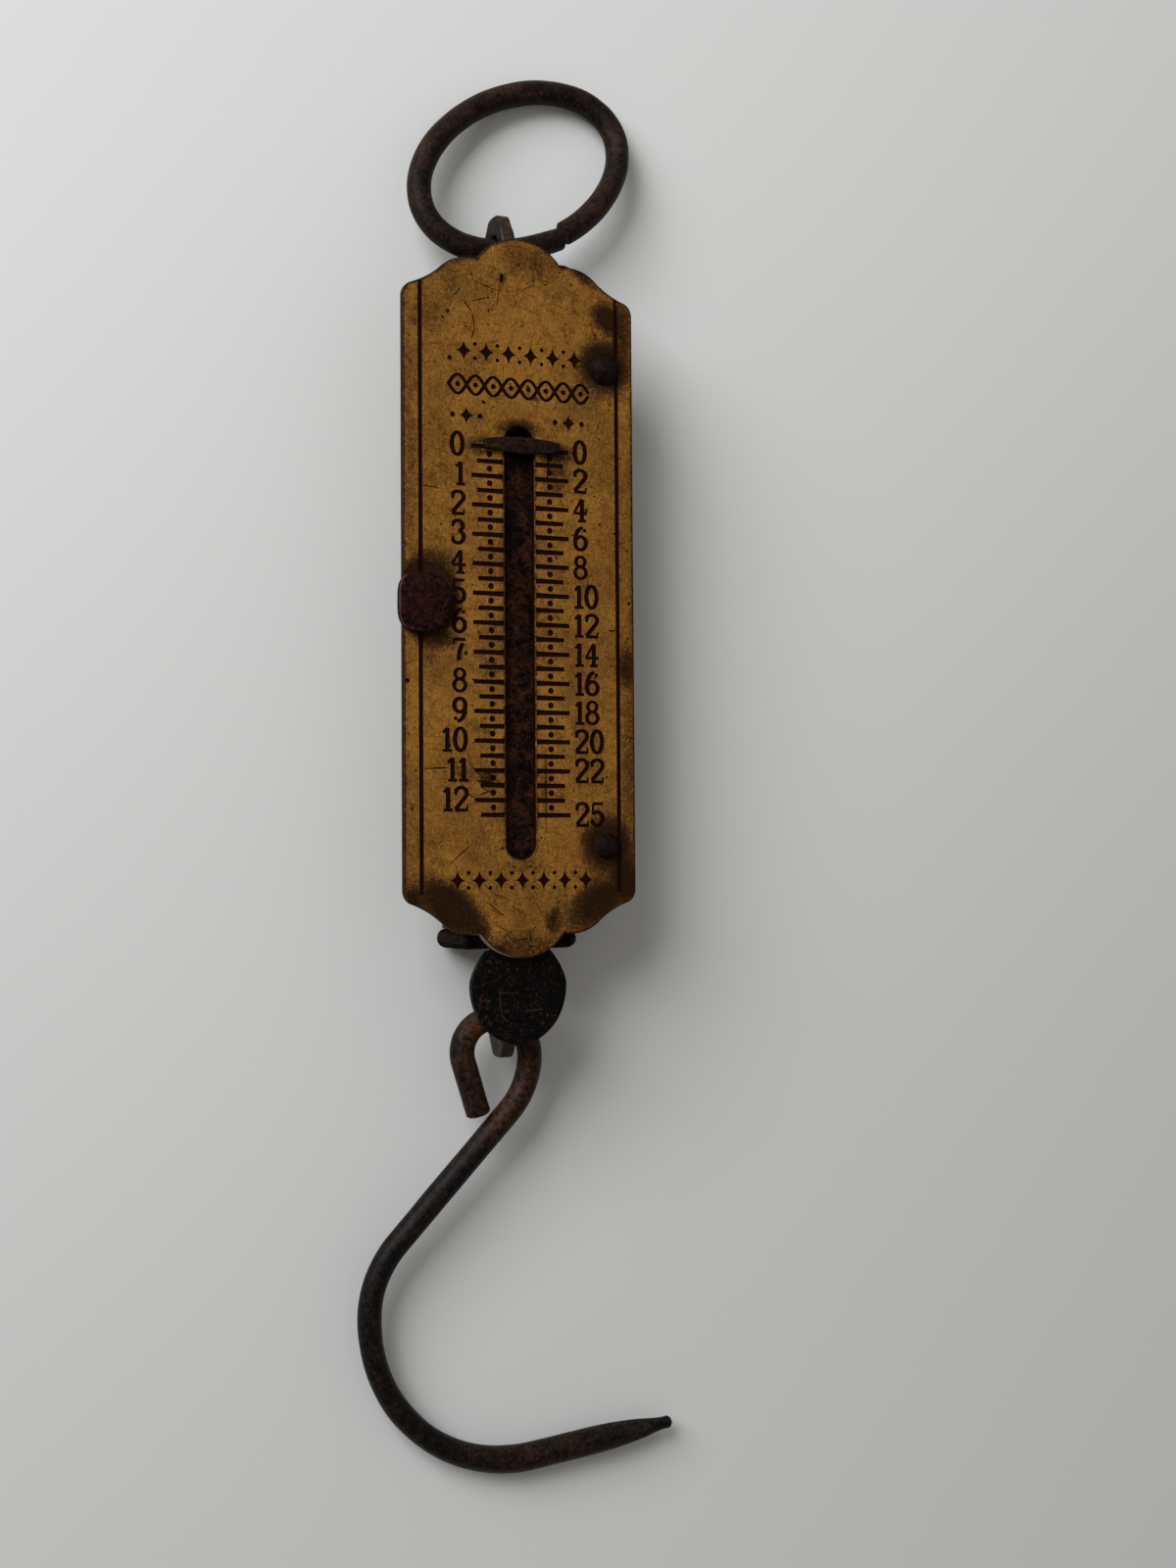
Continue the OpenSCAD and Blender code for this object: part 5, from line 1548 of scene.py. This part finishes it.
def cap_outline(opening):
    """Outline of a cap in the X-Z plane, anticlockwise, with round lower corners. opening is
    the half width and the foot of the slot that is open at the top, or nothing."""
    half, foot, top = high("top_cap")[0], low("top_cap")[2], high("top_cap")[2]
    r = CAP_CORNER
    loop = [arc(-half + r, foot + r, r, r, 180, 270, 8), arc(half - r, foot + r, r, r, 270, 360, 8),
            [[half, top]]]
    if opening:
        w_half, low_z = opening
        loop += [[[w_half, top], [w_half, low_z], [-w_half, low_z], [-w_half, top]]]
    return resampled(np.vstack(loop + [[[-half, top]]]), 1.1)


def cap(node, holes, opening, inner, outer_y, sign):
    """A cap: a thick plate across the end of the trough, with round edges, and two cheeks
    inside. The outline's height runs along Z and the plate's thickness along Y."""
    points, faces = slab(cap_outline(opening), holes, abs(outer_y - inner), CAP_EDGE, steps=5)
    flip = np.stack([points[:, 0], inner + sign * points[:, 2], points[:, 1]], 1)
    shells = [(flip, faces if sign < 0 else [f[::-1] for f in faces])]
    for side in (-1, 1):
        cheek = square_hole(side * CHEEK_X, inner - sign * CHEEK_LENGTH / 2, CHEEK_T, CHEEK_LENGTH)
        shells.append(slab(cheek, [], CHEEK_HEIGHT, edge=0.12, base=AXIS_Z - CHEEK_HEIGHT / 2))
    points, faces = joined(*shells)
    to_rim = np.minimum(np.abs(points[:, 1] - outer_y), high(node)[0] - np.abs(points[:, 0]))
    obj = make(node + "_round", points, faces, "case", case_iron, node)
    attribute(obj, "edge", np.clip(0.9 - to_rim / RUBBED_WIDTH, 0, 1))


stem_slot = np.array([[-1, -1], [1, -1], [1, 1], [-1, 1]]) * STEM_SLOT_HALF + [0, AXIS_Z]
cap("top_cap", [resampled(stem_slot, 0.8)], None, high("back_trough")[1], high("top_cap")[1],
    1)
cap("bottom_cap", [], (BAR_SLOT_HALF, bar_low - BAR_GAP), low("back_trough")[1],
    low("bottom_cap")[1], -1)

# %% Case
for node, body, finish, slot, width in (
        ("back_trough", "case", casing_iron, "case_iron", 0.22),
        ("lug_key", "case", casing_iron, "case_iron", 0.22),
        ("top_cap_pins", "case", case_iron, "case_iron", 0.05),
        ("bottom_cap_pins", "case", case_iron, "case_iron", 0.05),
        ("spring_foot", "bar", bar_iron, "bar_iron", 0.12)):
    softened(node, body, finish, width)
print("case pieces made")

# %% [markdown]
# ## Table and light
# The table is a plain pale sheet, with painted shade that makes it a little darker at the foot
# of the picture. It also carries painted light and shade: its tone is painted lower under the
# lamp and higher far from it, so that it stays an even pale grey seen from any side. One broad
# lamp stands at the upper left, so the shadow falls to the right and fades within a few
# centimetres. The world adds the even light of a pale room. Together they light a surface that
# faces up at about a level of 1, so that colours render as they are written.

# %% Table
FLOOR_HALF = 3.0
LAMP_FOOT = (-690.0, 505.0, 0.0)
AWAY_FROM_LAMP, DOWN_THE_PICTURE = (0.81, -0.59, 0.0), (0.35, -0.94, 0.0)
TABLE_TOP, TABLE_FOOT_SHADED = (210, 211, 210), (198, 199, 198)
TABLE_FAR_LIT, TABLE_SHADED_UNDER_LAMP = (240, 241, 240), (110, 111, 110)
floor_mesh = bpy.data.meshes.new("table")
floor_mesh.from_pydata([(x * FLOOR_HALF, y * FLOOR_HALF, 0)
                        for x, y in ((-1, -1), (1, -1), (1, 1), (-1, 1))], [], [(0, 1, 2, 3)])
floor = bpy.data.objects.new("table", floor_mesh)
scene.collection.objects.link(floor)
table, shader, w = material("pale_table")
mm = w.millimetres()
near_lamp = w.vector("DISTANCE", mm, LAMP_FOOT, out=1)
far_off = w.vector("DOT_PRODUCT", mm, AWAY_FROM_LAMP, out=1)
lower = w.vector("DOT_PRODUCT", mm, DOWN_THE_PICTURE, out=1)
# Painted shade towards the foot of the picture, painted light far from the lamp and painted shade
# under it.
tone = w.mix(w.ramp(lower, -90.0, 130.0), srgb(*TABLE_TOP), srgb(*TABLE_FOOT_SHADED))
tone = w.coat(tone, w.ramp(far_off, 280.0, 900.0), TABLE_FAR_LIT)
painted_shade_under_lamp = w.times(w.ramp(near_lamp, 240.0, 700.0, 0.9, 0.0), w.ramp(far_off, -1200.0, -850.0))
tone = w.coat(tone, painted_shade_under_lamp, TABLE_SHADED_UNDER_LAMP)
fill_in(w, shader, tone, metallic=0.0, roughness=0.9, shine=0.1)
floor_mesh.materials.append(table)

# %% Light
WORLD_COLOUR, WORLD_STRENGTH = (1.0, 0.97, 0.92, 1), 0.3
LAMP_PLACE, LAMP_SIZE, LAMP_WATTS, LAMP_COLOUR = (-0.66, 0.48, 0.54), 0.62, 12.6, (0.98, 0.99, 1.0)
world = bpy.data.worlds.new("pale_room")
world.use_nodes = True
background = world.node_tree.nodes["Background"]
background.inputs["Color"].default_value = WORLD_COLOUR
background.inputs["Strength"].default_value = WORLD_STRENGTH
scene.world = world

lamp_data = bpy.data.lights.new("window", "AREA")
lamp_data.size = LAMP_SIZE
lamp_data.energy = LAMP_WATTS
lamp_data.color = LAMP_COLOUR
lamp = bpy.data.objects.new("window", lamp_data)
towards_middle = (-Vector(LAMP_PLACE)).to_track_quat("-Z", "Y")
lamp.matrix_world = Matrix.Translation(LAMP_PLACE) @ towards_middle.to_matrix().to_4x4()
scene.collection.objects.link(lamp)
scene.view_settings.view_transform = "Standard"
print("lit")
